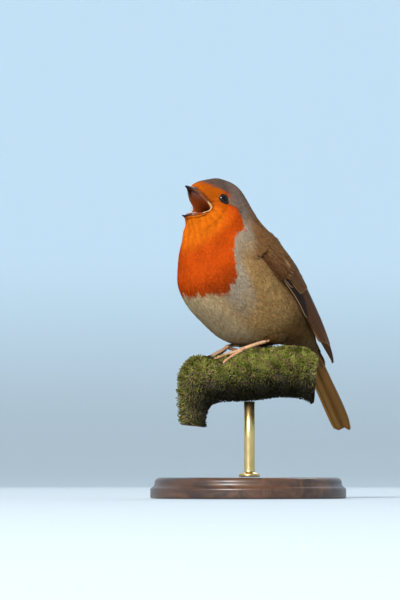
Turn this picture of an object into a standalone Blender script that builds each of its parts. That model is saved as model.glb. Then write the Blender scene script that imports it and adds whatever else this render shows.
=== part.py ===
"""A European robin singing, life size, on a cut branch held by a plain display stand.

Frame: metres, +Z up. The bird faces -Y and its left side is at +X. The origin is the centre
of the underside of the round base. Sizes below are millimetres; `place` turns them to metres.
Heights of the bird and the branch are measured from PERCH_LEVEL, the level of the feet.
"""

import math

import bpy
import bmesh
import numpy as np

MM = 0.001
PERCH_LEVEL = 62.0          # height of the feet's level above the floor
GAP = 0.3                   # clearance between neighbouring pieces

# --- Body: rings from the lips to the root of the tail ---------------------------------
# Each ring: top (y, z), underside (y, z), half width, bow towards the tail, bow sharpness
# and fullness: 1 is an ellipse, less is boxier.
BODY_RINGS = {
    "lips": (-31.4, 73.4, -35.0, 59.2, 6.0, 7.7, 6.0, 1.0),
    "lores": (-28.0, 75.6, -33.9, 56.4, 7.1, 6.5, 4.0, 0.92),
    "eyes": (-22.0, 77.0, -33.8, 52.6, 9.3, 5.5, 2.6, 0.82),
    "crown": (-16.5, 77.5, -34.0, 47.5, 10.4, 4.0, 2.0, 0.82),
    "hind_crown": (-8.2, 74.8, -34.6, 42.0, 13.2, 2.5, 2.0, 0.88),
    "nape": (-1.0, 66.0, -34.6, 36.0, 16.0, 1.2, 2.0, 0.94),
    "shoulders": (4.5, 59.5, -33.5, 28.5, 19.0, 0.0, 2.0, 1.0),
    "mantle": (13.0, 51.0, -28.6, 21.0, 21.4, 0.0, 2.0, 1.0),
    "loin": (19.5, 40.5, -20.0, 13.4, 21.1, 0.0, 2.0, 1.0),
    "rump": (25.5, 31.5, -10.5, 7.2, 19.3, 0.0, 2.0, 1.0),
    "belly": (29.6, 24.5, 1.5, 4.7, 16.2, 0.0, 2.0, 1.0),
    "vent": (31.2, 20.5, 18.0, 6.8, 10.8, 0.0, 2.0, 1.0),
    "tail_root": (31.8, 17.2, 26.4, 11.6, 5.6, 0.0, 2.0, 1.0),
}
MOUTH_RINGS = {
    "inner_lips": (-31.0, 70.6, -34.2, 61.2, 5.35, 6.9, 6.0, 1.0),
    "palate": (-27.5, 68.0, -31.0, 59.6, 4.9, 3.6, 4.0, 1.0),
    "soft_palate": (-23.5, 64.6, -27.0, 57.6, 4.3, 1.2, 2.0, 1.0),
    "throat": (-19.8, 61.6, -22.5, 56.0, 3.0, 0.0, 2.0, 1.0),
}
THROAT_END = (0.0, -18.5, 57.0)
HEAD_END = 3.6              # ring count, from the lips, where the head is parted from the neck
NECK_END = 5.2              # the same for the neck and the trunk
PARTING = 0.03              # half of a parting cut, in ring counts
HEAD_TURN = math.radians(8.0)       # the head looks a little to the bird's left
TURN_AXIS_Y = -19.0
TURN_START, TURN_END = 46.0, 64.0   # heights over which the turn builds up

# --- Bill, tongue and eyes -----------------------------------------------------------
UPPER_BILL_TIP = (0.0, -36.9, 73.6)
LOWER_BILL_TIP = (0.0, -38.5, 60.2)
# how far round the lips each half of the bill reaches
UPPER_BILL_EDGE, LOWER_BILL_EDGE = math.radians(48.0), math.radians(38.0)
BILL_START = 0.07                   # the bill begins this far from the lips to its tip
BILL_PINCH = 1.2                    # how quickly the bill narrows
BILL_UNDER_FEATHERS = 0.25          # share of the lips' thickness that feathers cover
BILL_LAST_RING, BILL_CROWDING = 0.97, 0.8   # where its last ring lies; under 1 crowds the tip
TONGUE = ((-26.4, 60.6), (-33.4, 61.9))     # (y, z) of its root and its tip
TONGUE_WIDTH, TONGUE_THICKNESS, TONGUE_ARCH = 3.0, 0.9, 0.5
EYE_CENTRE = (6.6, -20.4, 67.4)
EYE_RADIUS = 3.1

# --- Wings: upper edge, lower edge, bulge and thickness, from the bend to the tip --------
WING_ROWS = (
    ((15.6, -8.0, 53.2), (17.6, -11.6, 50.0), 0.6, 1.4),
    ((15.4, -1.4, 52.6), (20.4, -8.6, 43.5), 1.4, 2.2),
    ((13.6, 6.4, 48.8), (22.2, -2.8, 36.0), 2.2, 2.6),
    ((11.2, 14.2, 42.6), (22.0, 4.2, 30.0), 2.8, 2.6),
    ((8.8, 21.4, 34.8), (20.2, 11.5, 23.5), 2.9, 2.4),
    ((6.9, 28.6, 26.6), (17.4, 18.8, 16.0), 2.6, 2.0),
    ((5.6, 35.2, 18.2), (13.0, 28.0, 9.2), 1.9, 1.6),
    ((4.8, 40.4, 10.0), (9.4, 35.6, 3.6), 1.1, 1.3),
    ((4.4, 43.8, 3.0), (6.8, 41.0, -0.4), 0.5, 1.0),
    ((4.2, 45.0, -1.6), (4.8, 44.2, -2.0), 0.1, 0.8),
)

# --- Tail: (y, z) of its middle line, half width and thickness, from root to tip ---------
TAIL_ROWS = (
    (29.4, 13.9, 5.2, 5.4),
    (32.6, 8.6, 5.6, 3.2),
    (37.4, 0.4, 6.1, 1.9),
    (43.4, -10.2, 6.8, 1.4),
    (48.8, -19.6, 7.3, 1.1),
    (52.6, -26.6, 7.0, 0.9),
    (55.0, -31.6, 5.6, 0.8),
)
TAIL_ARCH = 0.25
TAIL_NOTCH = (0.0, -0.5, 1.0)       # how far the notch is set in from the tail's end

# --- Branch: rings in its own upright plane -----------------------------------------------
# Each ring: top (along, z), underside (along, z), half depth.
BRANCH_AXIS = (0.6018, 0.7986)      # plan direction in which "along" grows
BRANCH_THROUGH = (3.4, -2.6)        # plan point where "along" is zero
BRANCH_RINGS = (
    (30.5, -1.2, 28.4, -21.0, 10.4, 0.0, 2.0, 1.0),
    (24.0, 3.0, 23.0, -18.6, 11.4, 0.0, 2.0, 1.0),
    (14.5, 3.5, 14.0, -18.0, 12.0, 0.0, 2.0, 1.0),
    (2.0, 2.8, 3.0, -19.3, 12.3, 0.0, 2.0, 1.0),
    (-9.0, 0.3, -8.0, -19.8, 11.6, 0.0, 2.0, 1.0),
    (-16.5, -1.2, -13.0, -20.3, 10.6, 0.0, 2.0, 1.0),
    (-23.5, -0.8, -16.0, -21.5, 9.6, 0.0, 2.0, 1.0),
    (-29.3, -6.0, -17.4, -23.6, 8.2, 0.0, 2.0, 1.0),
    (-30.3, -15.0, -18.2, -26.0, 7.0, 0.0, 2.0, 1.0),
    (-30.1, -23.0, -18.4, -28.4, 6.5, 0.0, 2.0, 1.0),
    (-29.8, -30.0, -18.2, -31.0, 6.2, 0.0, 2.0, 1.0),
)

# --- Legs: foot centre, where the shank meets the thigh, and the toes ----------------------
# Each toe is three (along, across, height over the bark) points, outwards from the foot's
# centre. The first toe points back along the branch.
LEGS = {
    "left": {
        "foot": (5.0, -6.6, 3.05),
        "knee": (12.8, 1.8, 7.0),
        "toes": (
            ((1.5, -1.9, 0.62), (5.2, -2.7, 0.7), (8.0, -3.1, 0.6)),
            ((-1.9, -1.55, 0.7), (-5.6, -1.8, 0.9), (-9.2, -1.6, 0.65)),
            ((-2.1, 0.0, 0.8), (-7.6, 0.6, 1.0), (-12.8, 1.4, 0.65)),
            ((-1.7, 1.55, 0.7), (-5.4, 3.4, 0.9), (-9.0, 5.4, 0.65)),
        ),
    },
    "right": {
        "foot": (-4.0, -8.5, 4.2),
        "knee": (-11.0, 4.0, 5.8),
        "toes": (
            ((1.8, 0.2, 2.9), (4.4, 0.3, 1.5), (6.0, 0.4, 0.65)),
            ((-1.7, -1.55, 3.0), (-4.9, -2.9, 1.6), (-7.4, -4.2, 0.65)),
            ((-2.0, 0.0, 3.2), (-5.6, 0.3, 2.2), (-8.9, 0.6, 0.65)),
            ((-1.6, 1.55, 3.0), (-4.4, 1.9, 1.7), (-6.6, 1.7, 0.65)),
        ),
    },
}
SHANK_RADIUS = 0.8
FOOT_PAD = (2.0, 1.35, 1.05)        # half sizes across, along and up
TOE_RADII = (0.62, 0.6, 0.48)
CLAW_LENGTHS = (4.6, 3.4, 3.8, 3.2)
CLAW_RADIUS, CLAW_ARCH = 0.42, 0.6
CLAW_TAPER = 0.72                   # how much of its radius a claw loses on its way to the tip
CLAW_BACK = 0.05                    # extra space between a toe and its claw
THIGH_CENTRE = (11.6, 6.0, 9.6)
THIGH_RADII = (3.8, 6.5, 4.3)

# --- Stand -------------------------------------------------------------------------------
BASE_RADIUS, BASE_HEIGHT, BASE_BEVEL, BASE_FOOT_BEVEL = 43.0, 9.0, 1.6, 0.4
ROD_RADIUS, ROD_COLLAR_RADIUS, ROD_COLLAR_HEIGHT = 2.4, 4.6, 2.2
COLLAR_EDGE = 0.6                   # share of the collar's height that is upright
ROD_ALONG = 0.5                     # where along the branch the rod stands

COLOURS = {
    "orange_plumage": (0.56, 0.13, 0.01),
    "brown_plumage": (0.16, 0.10, 0.05),
    "pale_plumage": (0.32, 0.25, 0.16),
    "dark_horn": (0.03, 0.02, 0.02),
    "eye": (0.01, 0.008, 0.006),
    "mouth": (0.55, 0.22, 0.12),
    "leg": (0.36, 0.18, 0.09),
    "moss": (0.12, 0.13, 0.03),
    "dark_wood": (0.06, 0.03, 0.015),
    "brass": (0.72, 0.50, 0.22),
}
METALS = {"brass"}
METAL_ROUGHNESS, PLAIN_ROUGHNESS = 0.3, 0.7
SHARP_ANGLE = math.radians(40.0)    # edges bent more than this are shaded sharp


def clear_scene():
    """Remove whatever the scene starts with."""
    for thing in list(bpy.data.objects):
        bpy.data.objects.remove(thing)


def material(name):
    """Plain material of one of the named colours."""
    found = bpy.data.materials.get(name)
    if found:
        return found
    made = bpy.data.materials.new(name)
    made.use_nodes = True
    shader = made.node_tree.nodes["Principled BSDF"]
    shader.inputs["Base Color"].default_value = (*COLOURS[name], 1.0)
    shader.inputs["Roughness"].default_value = METAL_ROUGHNESS if name in METALS else PLAIN_ROUGHNESS
    shader.inputs["Metallic"].default_value = 1.0 if name in METALS else 0.0
    return made


def place(name, points, faces, finish, level=PERCH_LEVEL):
    """Object from points in millimetres; level is added to their height."""
    points = np.asarray(points, float) + (0.0, 0.0, level)
    mesh = bpy.data.meshes.new(name)
    mesh.from_pydata((points * MM).tolist(), [], faces)
    builder = bmesh.new()
    builder.from_mesh(mesh)
    bmesh.ops.recalc_face_normals(builder, faces=builder.faces)
    if builder.calc_volume(signed=True) < 0.0:
        bmesh.ops.reverse_faces(builder, faces=builder.faces)
    builder.to_mesh(mesh)
    builder.free()
    mesh.shade_smooth()
    mesh.set_sharp_from_angle(angle=SHARP_ANGLE)
    mesh.materials.append(material(finish))
    thing = bpy.data.objects.new(name, mesh)
    bpy.context.collection.objects.link(thing)
    return thing


def cut(thing, cutter, operation="DIFFERENCE"):
    """Boolean of one object with another, which becomes a wire guide."""
    step = thing.modifiers.new(cutter.name, "BOOLEAN")
    step.operation = operation
    step.object = cutter
    cutter.hide_render = True
    cutter.display_type = "WIRE"


def eased(rows, at):
    """Rows read at fractional positions on Catmull-Rom curves through them."""
    rows = np.asarray(rows, float)
    at = np.atleast_1d(np.asarray(at, float))
    last = len(rows) - 1
    i = np.clip(np.floor(at).astype(int), 0, last - 1)
    f = (at - i)[:, None]
    before, here = rows[np.maximum(i - 1, 0)], rows[i]
    after, beyond = rows[i + 1], rows[np.minimum(i + 2, last)]
    linear = after - before
    square = 2 * before - 5 * here + 4 * after - beyond
    cube = 3 * here - before - 3 * after + beyond
    return here + 0.5 * (linear * f + square * f**2 + cube * f**3)


def ring_points(rings, at, angles, grow=0.0):
    """Points of bowed elliptical rings, as (ring, angle, xyz).

    The middle of a ring is midway between its top and its underside. The point at angle a is
    the middle + half height * cos a, with x = half width * |sin a| ** fullness on sin a's side,
    pushed back along the ring's own axis by bow * |sin a| ** sharpness. Below the middle the
    sharpness is halved, but no less than 2.
    """
    row = eased(rings, at)
    top, under = row[:, 0:2], row[:, 2:4]
    middle, half = (top + under) / 2, (top - under) / 2
    length = np.hypot(half[:, 0], half[:, 1])[:, None]
    half = half * (1 + grow / length)
    back = np.stack([half[:, 1], -half[:, 0]], 1) / np.hypot(half[:, 0], half[:, 1])[:, None]
    sharpness = np.where(np.cos(angles) < 0, np.maximum(row[:, 6:7] / 2, 2.0), row[:, 6:7])
    bow = row[:, 5:6] * np.abs(np.sin(angles)) ** sharpness
    x = (row[:, 4:5] + grow) * np.sign(np.sin(angles)) * np.abs(np.sin(angles)) ** row[:, 7:8]
    y = middle[:, 0:1] + half[:, 0:1] * np.cos(angles) + back[:, 0:1] * bow
    z = middle[:, 1:2] + half[:, 1:2] * np.cos(angles) + back[:, 1:2] * bow
    return np.stack([x, y, z], -1)


def turn_head(points):
    """Turn about an upright axis that grows smoothly from the shoulders to the head."""
    points = np.array(points, float)
    rise = np.clip((points[..., 2] - TURN_START) / (TURN_END - TURN_START), 0.0, 1.0)
    angle = HEAD_TURN * rise * rise * (3.0 - 2.0 * rise)
    x, y = points[..., 0].copy(), points[..., 1] - TURN_AXIS_Y
    points[..., 0] = x * np.cos(angle) - y * np.sin(angle)
    points[..., 1] = TURN_AXIS_Y + x * np.sin(angle) + y * np.cos(angle)
    return points


def tube_faces(rows, columns, first=0):
    """Quads that join closed rings of points, one after the other."""
    faces = []
    for r in range(rows - 1):
        for c in range(columns):
            d = (c + 1) % columns
            here, ahead = first + r * columns, first + (r + 1) * columns
            faces.append((here + c, here + d, ahead + d, ahead + c))
    return faces


def fan_faces(start, columns, pole):
    """Triangles from one ring to its pole."""
    return [(start + c, start + (c + 1) % columns, pole) for c in range(columns)]


def closed_tube(rings, poles):
    """Points and faces of a tube of rings, closed by a pole at each end."""
    rows, columns = rings.shape[:2]
    points = np.concatenate([rings.reshape(-1, 3), np.asarray(poles, float)])
    faces = tube_faces(rows, columns)
    faces += fan_faces(0, columns, rows * columns)
    faces += fan_faces((rows - 1) * columns, columns, rows * columns + 1)
    return points, faces


def ring_heart(ring):
    """The middle of a bowed ring: midway between its two side points."""
    quarter = len(ring) // 4
    return (ring[quarter] + ring[3 * quarter]) / 2


def body_length(start, end, rows, columns, grow=0.0):
    """A closed length of the body between two ring positions."""
    angles = np.linspace(0.0, 2 * math.pi, columns, endpoint=False)
    rings = ring_points(list(BODY_RINGS.values()), np.linspace(start, end, rows), angles, grow)
    points, faces = closed_tube(rings, [ring_heart(rings[0]), ring_heart(rings[-1])])
    return turn_head(points), faces


def ball(name, centre, radii, finish, turned=False, columns=14, rows=8):
    """Ellipsoid of rings about a level axis across the bird."""
    around = np.linspace(0.0, 2 * math.pi, columns, endpoint=False)
    polar = np.linspace(0.0, math.pi, rows + 1)[1:-1, None]
    unit = np.stack([np.cos(polar) + 0.0 * around, np.sin(polar) * np.cos(around),
                     np.sin(polar) * np.sin(around)], -1)
    points, faces = closed_tube(unit, [(1, 0, 0), (-1, 0, 0)])
    points = points * radii + centre
    return place(name, turn_head(points) if turned else points, faces, finish)


def mirrored(point, side):
    """A point of the left side, or its mirror image on the right."""
    return (point[0] if side == "left" else -point[0], point[1], point[2])


def make_head():
    """Head with its open mouth and an eye socket on each side."""
    columns = 32
    angles = np.linspace(0.0, 2 * math.pi, columns, endpoint=False)
    outside = ring_points(list(BODY_RINGS.values()),
                          np.linspace(0.0, HEAD_END - PARTING, 11), angles)
    inside = ring_points(list(MOUTH_RINGS.values()), np.linspace(0.0, 3.0, 6), angles)
    rings = np.concatenate([inside[::-1], outside])
    points, faces = closed_tube(rings, [THROAT_END, ring_heart(rings[-1])])
    head = place("head", turn_head(points), faces, "orange_plumage")
    for side in ("left", "right"):
        socket = ball("socket_" + side, mirrored(EYE_CENTRE, side),
                      (EYE_RADIUS + GAP,) * 3, "mouth", turned=True)
        cut(head, socket)


def make_eyes():
    """Eyeballs."""
    for side in ("left", "right"):
        ball("eye_" + side, mirrored(EYE_CENTRE, side), (EYE_RADIUS,) * 3, "eye",
             turned=True, columns=16, rows=10)


def make_bill(name, middle_angle, edge_angle, tip):
    """One half of the bill: the lips' outer and inner arcs, drawn out to its tip.

    The arcs go edge_angle to either side. At fraction f they have moved f of the way to the
    tip, and their width is (1 - f) ** BILL_PINCH of what it was. The flat base of the piece is
    filled between the arcs.
    """
    arc = middle_angle + np.linspace(-edge_angle, edge_angle, 11)
    inner = ring_points([MOUTH_RINGS["inner_lips"]] * 2, [0.0], arc)[0]
    lips = ring_points([BODY_RINGS["lips"]] * 2, [0.0], arc)[0]
    outer = inner + (lips - inner) * (1.0 - BILL_UNDER_FEATHERS)
    base = np.concatenate([outer, inner[::-1]])
    steps = np.linspace(0.0, 1.0, 6)[:, None, None] ** BILL_CROWDING
    f = BILL_START + (BILL_LAST_RING - BILL_START) * steps
    rings = base + (np.asarray(tip) - base) * f
    rings[..., 0] = base[:, 0] * (1.0 - f[..., 0]) ** BILL_PINCH
    points = rings.reshape(-1, 3)
    rows, columns = rings.shape[:2]
    faces = tube_faces(rows, columns)
    half = columns // 2
    for i in range(half - 1):
        faces.append((i, columns - 1 - i, columns - 2 - i, i + 1))
    points = np.concatenate([points, [tip]])
    faces += fan_faces((rows - 1) * columns, columns, len(points) - 1)
    place(name, turn_head(points), faces, "dark_horn")


def lens_rings(upper, lower, bulge, thickness, count):
    """Closed lens-shaped sections between an upper and a lower edge.

    Round the section v runs from the upper edge to the lower and back; the outer and inner
    faces stand off the chord by bulge * sin, plus or minus half the thickness * sqrt(sin).
    """
    upper, lower = np.asarray(upper, float), np.asarray(lower, float)
    phase = np.linspace(0.0, 2 * math.pi, count, endpoint=False)
    across = (1.0 - np.cos(phase)) / 2.0
    chord = lower - upper
    run = np.gradient((upper + lower) / 2, axis=0)
    out = np.cross(chord, run)
    out /= np.linalg.norm(out, axis=1, keepdims=True)
    stand = np.asarray(bulge)[:, None] * np.sin(np.pi * across)
    stand = stand + np.asarray(thickness)[:, None] / 2 * np.sign(np.sin(phase)) * np.sqrt(
        np.abs(np.sin(phase)))
    return upper[:, None] + chord[:, None] * across[:, None] + out[:, None] * stand[..., None]


def make_wings():
    """Folded wings, hollowed to lie on the body."""
    at = np.linspace(0.0, len(WING_ROWS) - 1, 17)
    upper = eased([row[0] for row in WING_ROWS], at)
    lower = eased([row[1] for row in WING_ROWS], at)
    rest = eased([row[2:] for row in WING_ROWS], at)
    rings = lens_rings(upper, lower, rest[:, 0], rest[:, 1], 14)
    points, faces = closed_tube(rings, [rings[0].mean(0), rings[-1].mean(0)])
    room_points, room_faces = body_length(3.0, len(BODY_RINGS) - 1.0, 24, 28, grow=GAP)
    for side in ("left", "right"):
        sign = 1.0 if side == "left" else -1.0
        wing = place("wing_" + side, points * (sign, 1.0, 1.0), faces, "brown_plumage")
        room = place("room_" + side, room_points, room_faces, "pale_plumage")
        cut(wing, room)


def make_trunk():
    """Neck, and the trunk with a hollow for each thigh."""
    points, faces = body_length(HEAD_END + PARTING, NECK_END - PARTING, 5, 28)
    place("neck", points, faces, "orange_plumage")
    end = len(BODY_RINGS) - 1.0
    points, faces = body_length(NECK_END + PARTING, end, 18, 28)
    trunk = place("trunk", points, faces, "pale_plumage")
    for side in LEGS:
        cut(trunk, thigh_room(side, "trunk"))


def thigh_room(side, use):
    """A thigh grown by the gap, to cut its neighbours with."""
    return ball(f"room_{use}_{side}", mirrored(THIGH_CENTRE, side), np.add(THIGH_RADII, GAP),
                "pale_plumage")


def make_tail():
    """Closed tail, slightly notched, behind the root of the trunk."""
    at = np.linspace(0.0, len(TAIL_ROWS) - 1, 9)
    row = eased(TAIL_ROWS, at)
    left = np.stack([row[:, 2], row[:, 0], row[:, 1]], 1)
    right = left * (-1.0, 1.0, 1.0)
    rings = lens_rings(right, left, TAIL_ARCH + 0.0 * at, row[:, 3], 14)
    notch = rings[-1].mean(0) + TAIL_NOTCH
    points, faces = closed_tube(rings, [rings[0].mean(0), notch])
    tail = place("tail", points, faces, "brown_plumage")
    room_points, room_faces = body_length(8.0, len(BODY_RINGS) - 1.0, 12, 28, grow=GAP)
    cut(tail, place("room_tail", room_points, room_faces, "pale_plumage"))


def branch_world(along, across, height):
    """World position of a place given along, across and above the branch."""
    ax, ay = BRANCH_AXIS
    ox, oy = BRANCH_THROUGH
    return np.stack([ox + along * ax + across * ay, oy + along * ay - across * ax,
                     height + 0.0 * along], -1)


def branch_plan(point):
    """The along and across of a plan point."""
    ax, ay = BRANCH_AXIS
    dx, dy = point[0] - BRANCH_THROUGH[0], point[1] - BRANCH_THROUGH[1]
    return dx * ax + dy * ay, dx * ay - dy * ax


def bark_height(along, across):
    """Height of the top of the branch."""
    rows = eased(BRANCH_RINGS, np.linspace(0.0, 6.0, 61))
    order = np.argsort(rows[:, 0])
    top = np.interp(along, rows[order, 0], rows[order, 1])
    under = np.interp(along, rows[order, 0], rows[order, 3])
    depth = np.interp(along, rows[order, 0], rows[order, 4])
    half = (top - under) / 2
    return top - half * (1.0 - np.sqrt(np.clip(1.0 - (across / depth) ** 2, 0.0, 1.0)))


def make_branch():
    """The cut length of branch that the bird grips."""
    angles = np.linspace(0.0, 2 * math.pi, 20, endpoint=False)
    rings = ring_points(BRANCH_RINGS, np.linspace(0.0, len(BRANCH_RINGS) - 1, 17), angles)
    rings = branch_world(rings[..., 1], -rings[..., 0], rings[..., 2])
    points, faces = closed_tube(rings, [rings[0].mean(0), rings[-1].mean(0)])
    place("perch_branch", points, faces, "moss")


def tube_along(path, radii, columns=7):
    """Rings square to a path, and the poles that close them."""
    path = np.asarray(path, float)
    run = np.gradient(path, axis=0)
    run /= np.linalg.norm(run, axis=1, keepdims=True)
    side = np.cross(run, (0.0, 0.0, 1.0))
    side /= np.linalg.norm(side, axis=1, keepdims=True)
    lift = np.cross(side, run)
    around = np.linspace(0.0, 2 * math.pi, columns, endpoint=False)[:, None]
    spread = side[:, None] * np.cos(around) + lift[:, None] * np.sin(around)
    return closed_tube(path[:, None] + spread * np.asarray(radii)[:, None, None],
                       [path[0], path[-1]])


def make_leg(side):
    """Feathered thigh, shank with the foot's pad, four toes and their claws."""
    leg = LEGS[side]
    ball("thigh_" + side, mirrored(THIGH_CENTRE, side), THIGH_RADII, "pale_plumage")
    foot, knee = np.array(leg["foot"]), np.array(leg["knee"])
    at = np.linspace(0.0, 1.0, 6)
    points, faces = tube_along(foot + (knee - foot) * at[:, None], SHANK_RADIUS + 0.0 * at, 10)
    shank = place("tarsus_" + side, points, faces, "leg")
    cut(shank, place("pad_" + side, *ball_on_branch(foot), "leg"), "UNION")
    cut(shank, thigh_room(side, "shank"))
    along, across = branch_plan(foot)
    for number, reach in enumerate(leg["toes"]):
        make_toe(side, number, along, across, np.array(reach))


def ball_on_branch(centre):
    """Small pad, widest across the branch."""
    around = np.linspace(0.0, 2 * math.pi, 10, endpoint=False)
    polar = np.linspace(0.0, math.pi, 7)[1:-1, None]
    across = FOOT_PAD[0] * np.cos(polar) + 0.0 * around
    along = FOOT_PAD[1] * np.sin(polar) * np.cos(around)
    up = FOOT_PAD[2] * np.sin(polar) * np.sin(around)
    ax, ay = BRANCH_AXIS
    rings = np.stack([along * ax + across * ay, along * ay - across * ax, up], -1)
    ends = np.array([(ay, -ax, 0.0), (-ay, ax, 0.0)]) * FOOT_PAD[0]
    points, faces = closed_tube(rings, ends)
    return points + centre, faces


def make_toe(side, number, along, across, reach):
    """Toe that follows the bark, and the claw at its end."""
    line = eased(reach, np.linspace(0.0, 2.0, 6))
    a, c = along + line[:, 0], across + line[:, 1]
    path = branch_world(a, c, bark_height(a, c) + line[:, 2] + GAP)
    radii = eased(np.array(TOE_RADII)[:, None], np.linspace(0.0, 2.0, 6))[:, 0]
    name = f"{side}_{number + 1}"
    place("toe_" + name, *tube_along(path, radii), "leg")
    run = path[-1] - path[-3]
    run[2] = 0.0
    run /= np.linalg.norm(run)
    start = path[-1] + run * (GAP + CLAW_BACK)
    f = np.linspace(0.0, 1.0, 5)
    claw = start + run * (CLAW_LENGTHS[number] * f)[:, None]
    claw[:, 2] += CLAW_ARCH * np.sin(math.pi * f)
    a, c = branch_plan(claw.T)
    radii = CLAW_RADIUS * (1.0 - CLAW_TAPER * f)
    claw[:, 2] = np.maximum(claw[:, 2], bark_height(a, c) + GAP + radii)
    place("claw_" + name, *tube_along(claw, radii), "dark_horn")


def make_tongue():
    """Pointed, slightly arched tongue lying in the lower half of the bill.

    At fraction f from the root its half width falls as sqrt(1 - 0.92 f^2) and its thickness
    as 1 - 0.4 f.
    """
    (root_y, root_z), (tip_y, tip_z) = TONGUE
    f = np.linspace(0.0, 1.0, 6)
    width = TONGUE_WIDTH / 2 * np.sqrt(1.0 - 0.92 * f**2)
    line = np.stack([width, root_y + (tip_y - root_y) * f,
                     root_z + (tip_z - root_z) * f + TONGUE_ARCH * np.sin(math.pi * f)], 1)
    rings = lens_rings(line * (-1, 1, 1), line, 0.0 * f, TONGUE_THICKNESS * (1.0 - 0.4 * f), 8)
    points, faces = closed_tube(rings, [rings[0].mean(0), rings[-1].mean(0)])
    place("tongue", turn_head(points), faces, "mouth")


def lathe(profile, columns):
    """Rings of a profile of (radius, z) turned about an upright axis, with end poles."""
    profile = np.asarray(profile, float)
    around = np.linspace(0.0, 2 * math.pi, columns, endpoint=False)
    rings = np.stack([profile[:, 0:1] * np.cos(around), profile[:, 0:1] * np.sin(around),
                      profile[:, 1:2] + 0.0 * around], -1)
    return closed_tube(rings, [(0, 0, profile[0, 1]), (0, 0, profile[-1, 1])])


def make_stand():
    """Round base and the rod up to the branch."""
    r, h, b, f = BASE_RADIUS, BASE_HEIGHT, BASE_BEVEL, BASE_FOOT_BEVEL
    points, faces = lathe([(r - f, 0), (r, f), (r, h - b), (r - b, h)], 40)
    place("stand_base", points, faces, "dark_wood", level=0.0)
    rod, collar = ROD_RADIUS, ROD_COLLAR_RADIUS
    start, top = h + GAP, PERCH_LEVEL + branch_underside(ROD_ALONG) - GAP
    points, faces = lathe([(collar, start), (collar, start + ROD_COLLAR_HEIGHT * COLLAR_EDGE),
                           (rod, start + ROD_COLLAR_HEIGHT), (rod, top)], 16)
    shift = branch_world(np.array(ROD_ALONG), 0.0, 0.0)
    place("stand_rod", points + shift, faces, "brass", level=0.0)


def branch_underside(along):
    """Height of the underside of the branch."""
    rows = eased(BRANCH_RINGS, np.linspace(0.0, 5.0, 51))
    order = np.argsort(rows[:, 2])
    return float(np.interp(along, rows[order, 2], rows[order, 3]))


def main():
    """Build every piece."""
    clear_scene()
    make_head()
    make_eyes()
    make_bill("bill_upper", 0.0, UPPER_BILL_EDGE, UPPER_BILL_TIP)
    make_bill("bill_lower", math.pi, LOWER_BILL_EDGE, LOWER_BILL_TIP)
    make_tongue()
    make_trunk()
    make_wings()
    make_tail()
    make_branch()
    for side in LEGS:
        make_leg(side)
    make_stand()


main()
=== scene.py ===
"""A life-size European robin singing on a cut length of mossy branch, on a wooden stand.

Sizes are millimetres until a mesh is made. Heights of the bird and the branch are measured
from the level of its feet. The bird faces -Y and its left side is at +X.

Places on the bird's body are a ring count t, 0 at the lips to 12 at the root of the tail, and
an angle a round the ring, 0 along the back, 90 degrees at the bird's left, 180 underneath.
"""
import math

import bpy
import numpy as np
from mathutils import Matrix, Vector


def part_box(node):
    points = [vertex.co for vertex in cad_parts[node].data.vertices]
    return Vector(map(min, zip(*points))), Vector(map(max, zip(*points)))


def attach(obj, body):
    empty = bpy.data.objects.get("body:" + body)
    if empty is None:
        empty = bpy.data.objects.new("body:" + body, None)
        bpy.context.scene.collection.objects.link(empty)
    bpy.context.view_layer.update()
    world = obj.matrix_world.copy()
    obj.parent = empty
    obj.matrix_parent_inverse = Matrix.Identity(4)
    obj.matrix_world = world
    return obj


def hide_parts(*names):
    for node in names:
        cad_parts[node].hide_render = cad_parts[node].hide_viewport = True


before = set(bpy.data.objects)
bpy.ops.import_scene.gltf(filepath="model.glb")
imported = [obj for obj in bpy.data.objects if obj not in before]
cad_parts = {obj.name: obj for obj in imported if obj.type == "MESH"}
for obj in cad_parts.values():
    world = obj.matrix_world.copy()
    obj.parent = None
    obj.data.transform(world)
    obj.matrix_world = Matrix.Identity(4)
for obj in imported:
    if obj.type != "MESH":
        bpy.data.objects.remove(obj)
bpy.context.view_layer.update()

MM = 0.001
DEGREE = math.pi / 180.0
SIDES = ("left", "right")
SIGNS = {"left": 1.0, "right": -1.0}    # of x on that side of the bird

# --- Body ---
# Ring: top (y, z), underside (y, z), half width, bow towards the tail, its sharpness, fullness.
BODY = np.array((
    (-31.4, 73.4, -35.0, 59.2, 6.0, 7.7, 6.0, 1.0),      # lips
    (-28.0, 75.6, -33.9, 56.4, 7.1, 6.5, 4.0, 0.92),     # lores
    (-22.0, 77.0, -33.8, 52.6, 9.3, 5.5, 2.6, 0.82),     # eyes
    (-16.5, 77.5, -34.0, 47.5, 10.4, 4.0, 2.0, 0.82),    # crown
    (-8.2, 74.8, -34.6, 42.0, 13.2, 2.5, 2.0, 0.88),     # back of the crown
    (-1.0, 66.0, -34.6, 36.0, 16.0, 1.2, 2.0, 0.94),     # nape
    (4.5, 59.5, -33.5, 28.5, 19.0, 0.0, 2.0, 1.0),       # shoulders
    (13.0, 51.0, -28.6, 21.0, 21.4, 0.0, 2.0, 1.0),      # mantle
    (19.5, 40.5, -20.0, 13.4, 21.1, 0.0, 2.0, 1.0),      # loin
    (25.5, 31.5, -10.5, 7.2, 19.3, 0.0, 2.0, 1.0),       # rump
    (29.6, 24.5, 1.5, 4.7, 16.2, 0.0, 2.0, 1.0),         # belly
    (31.2, 20.5, 18.0, 6.8, 10.8, 0.0, 2.0, 1.0),        # vent
    (31.8, 17.2, 26.4, 11.6, 5.6, 0.0, 2.0, 1.0),        # root of the tail
))
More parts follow.
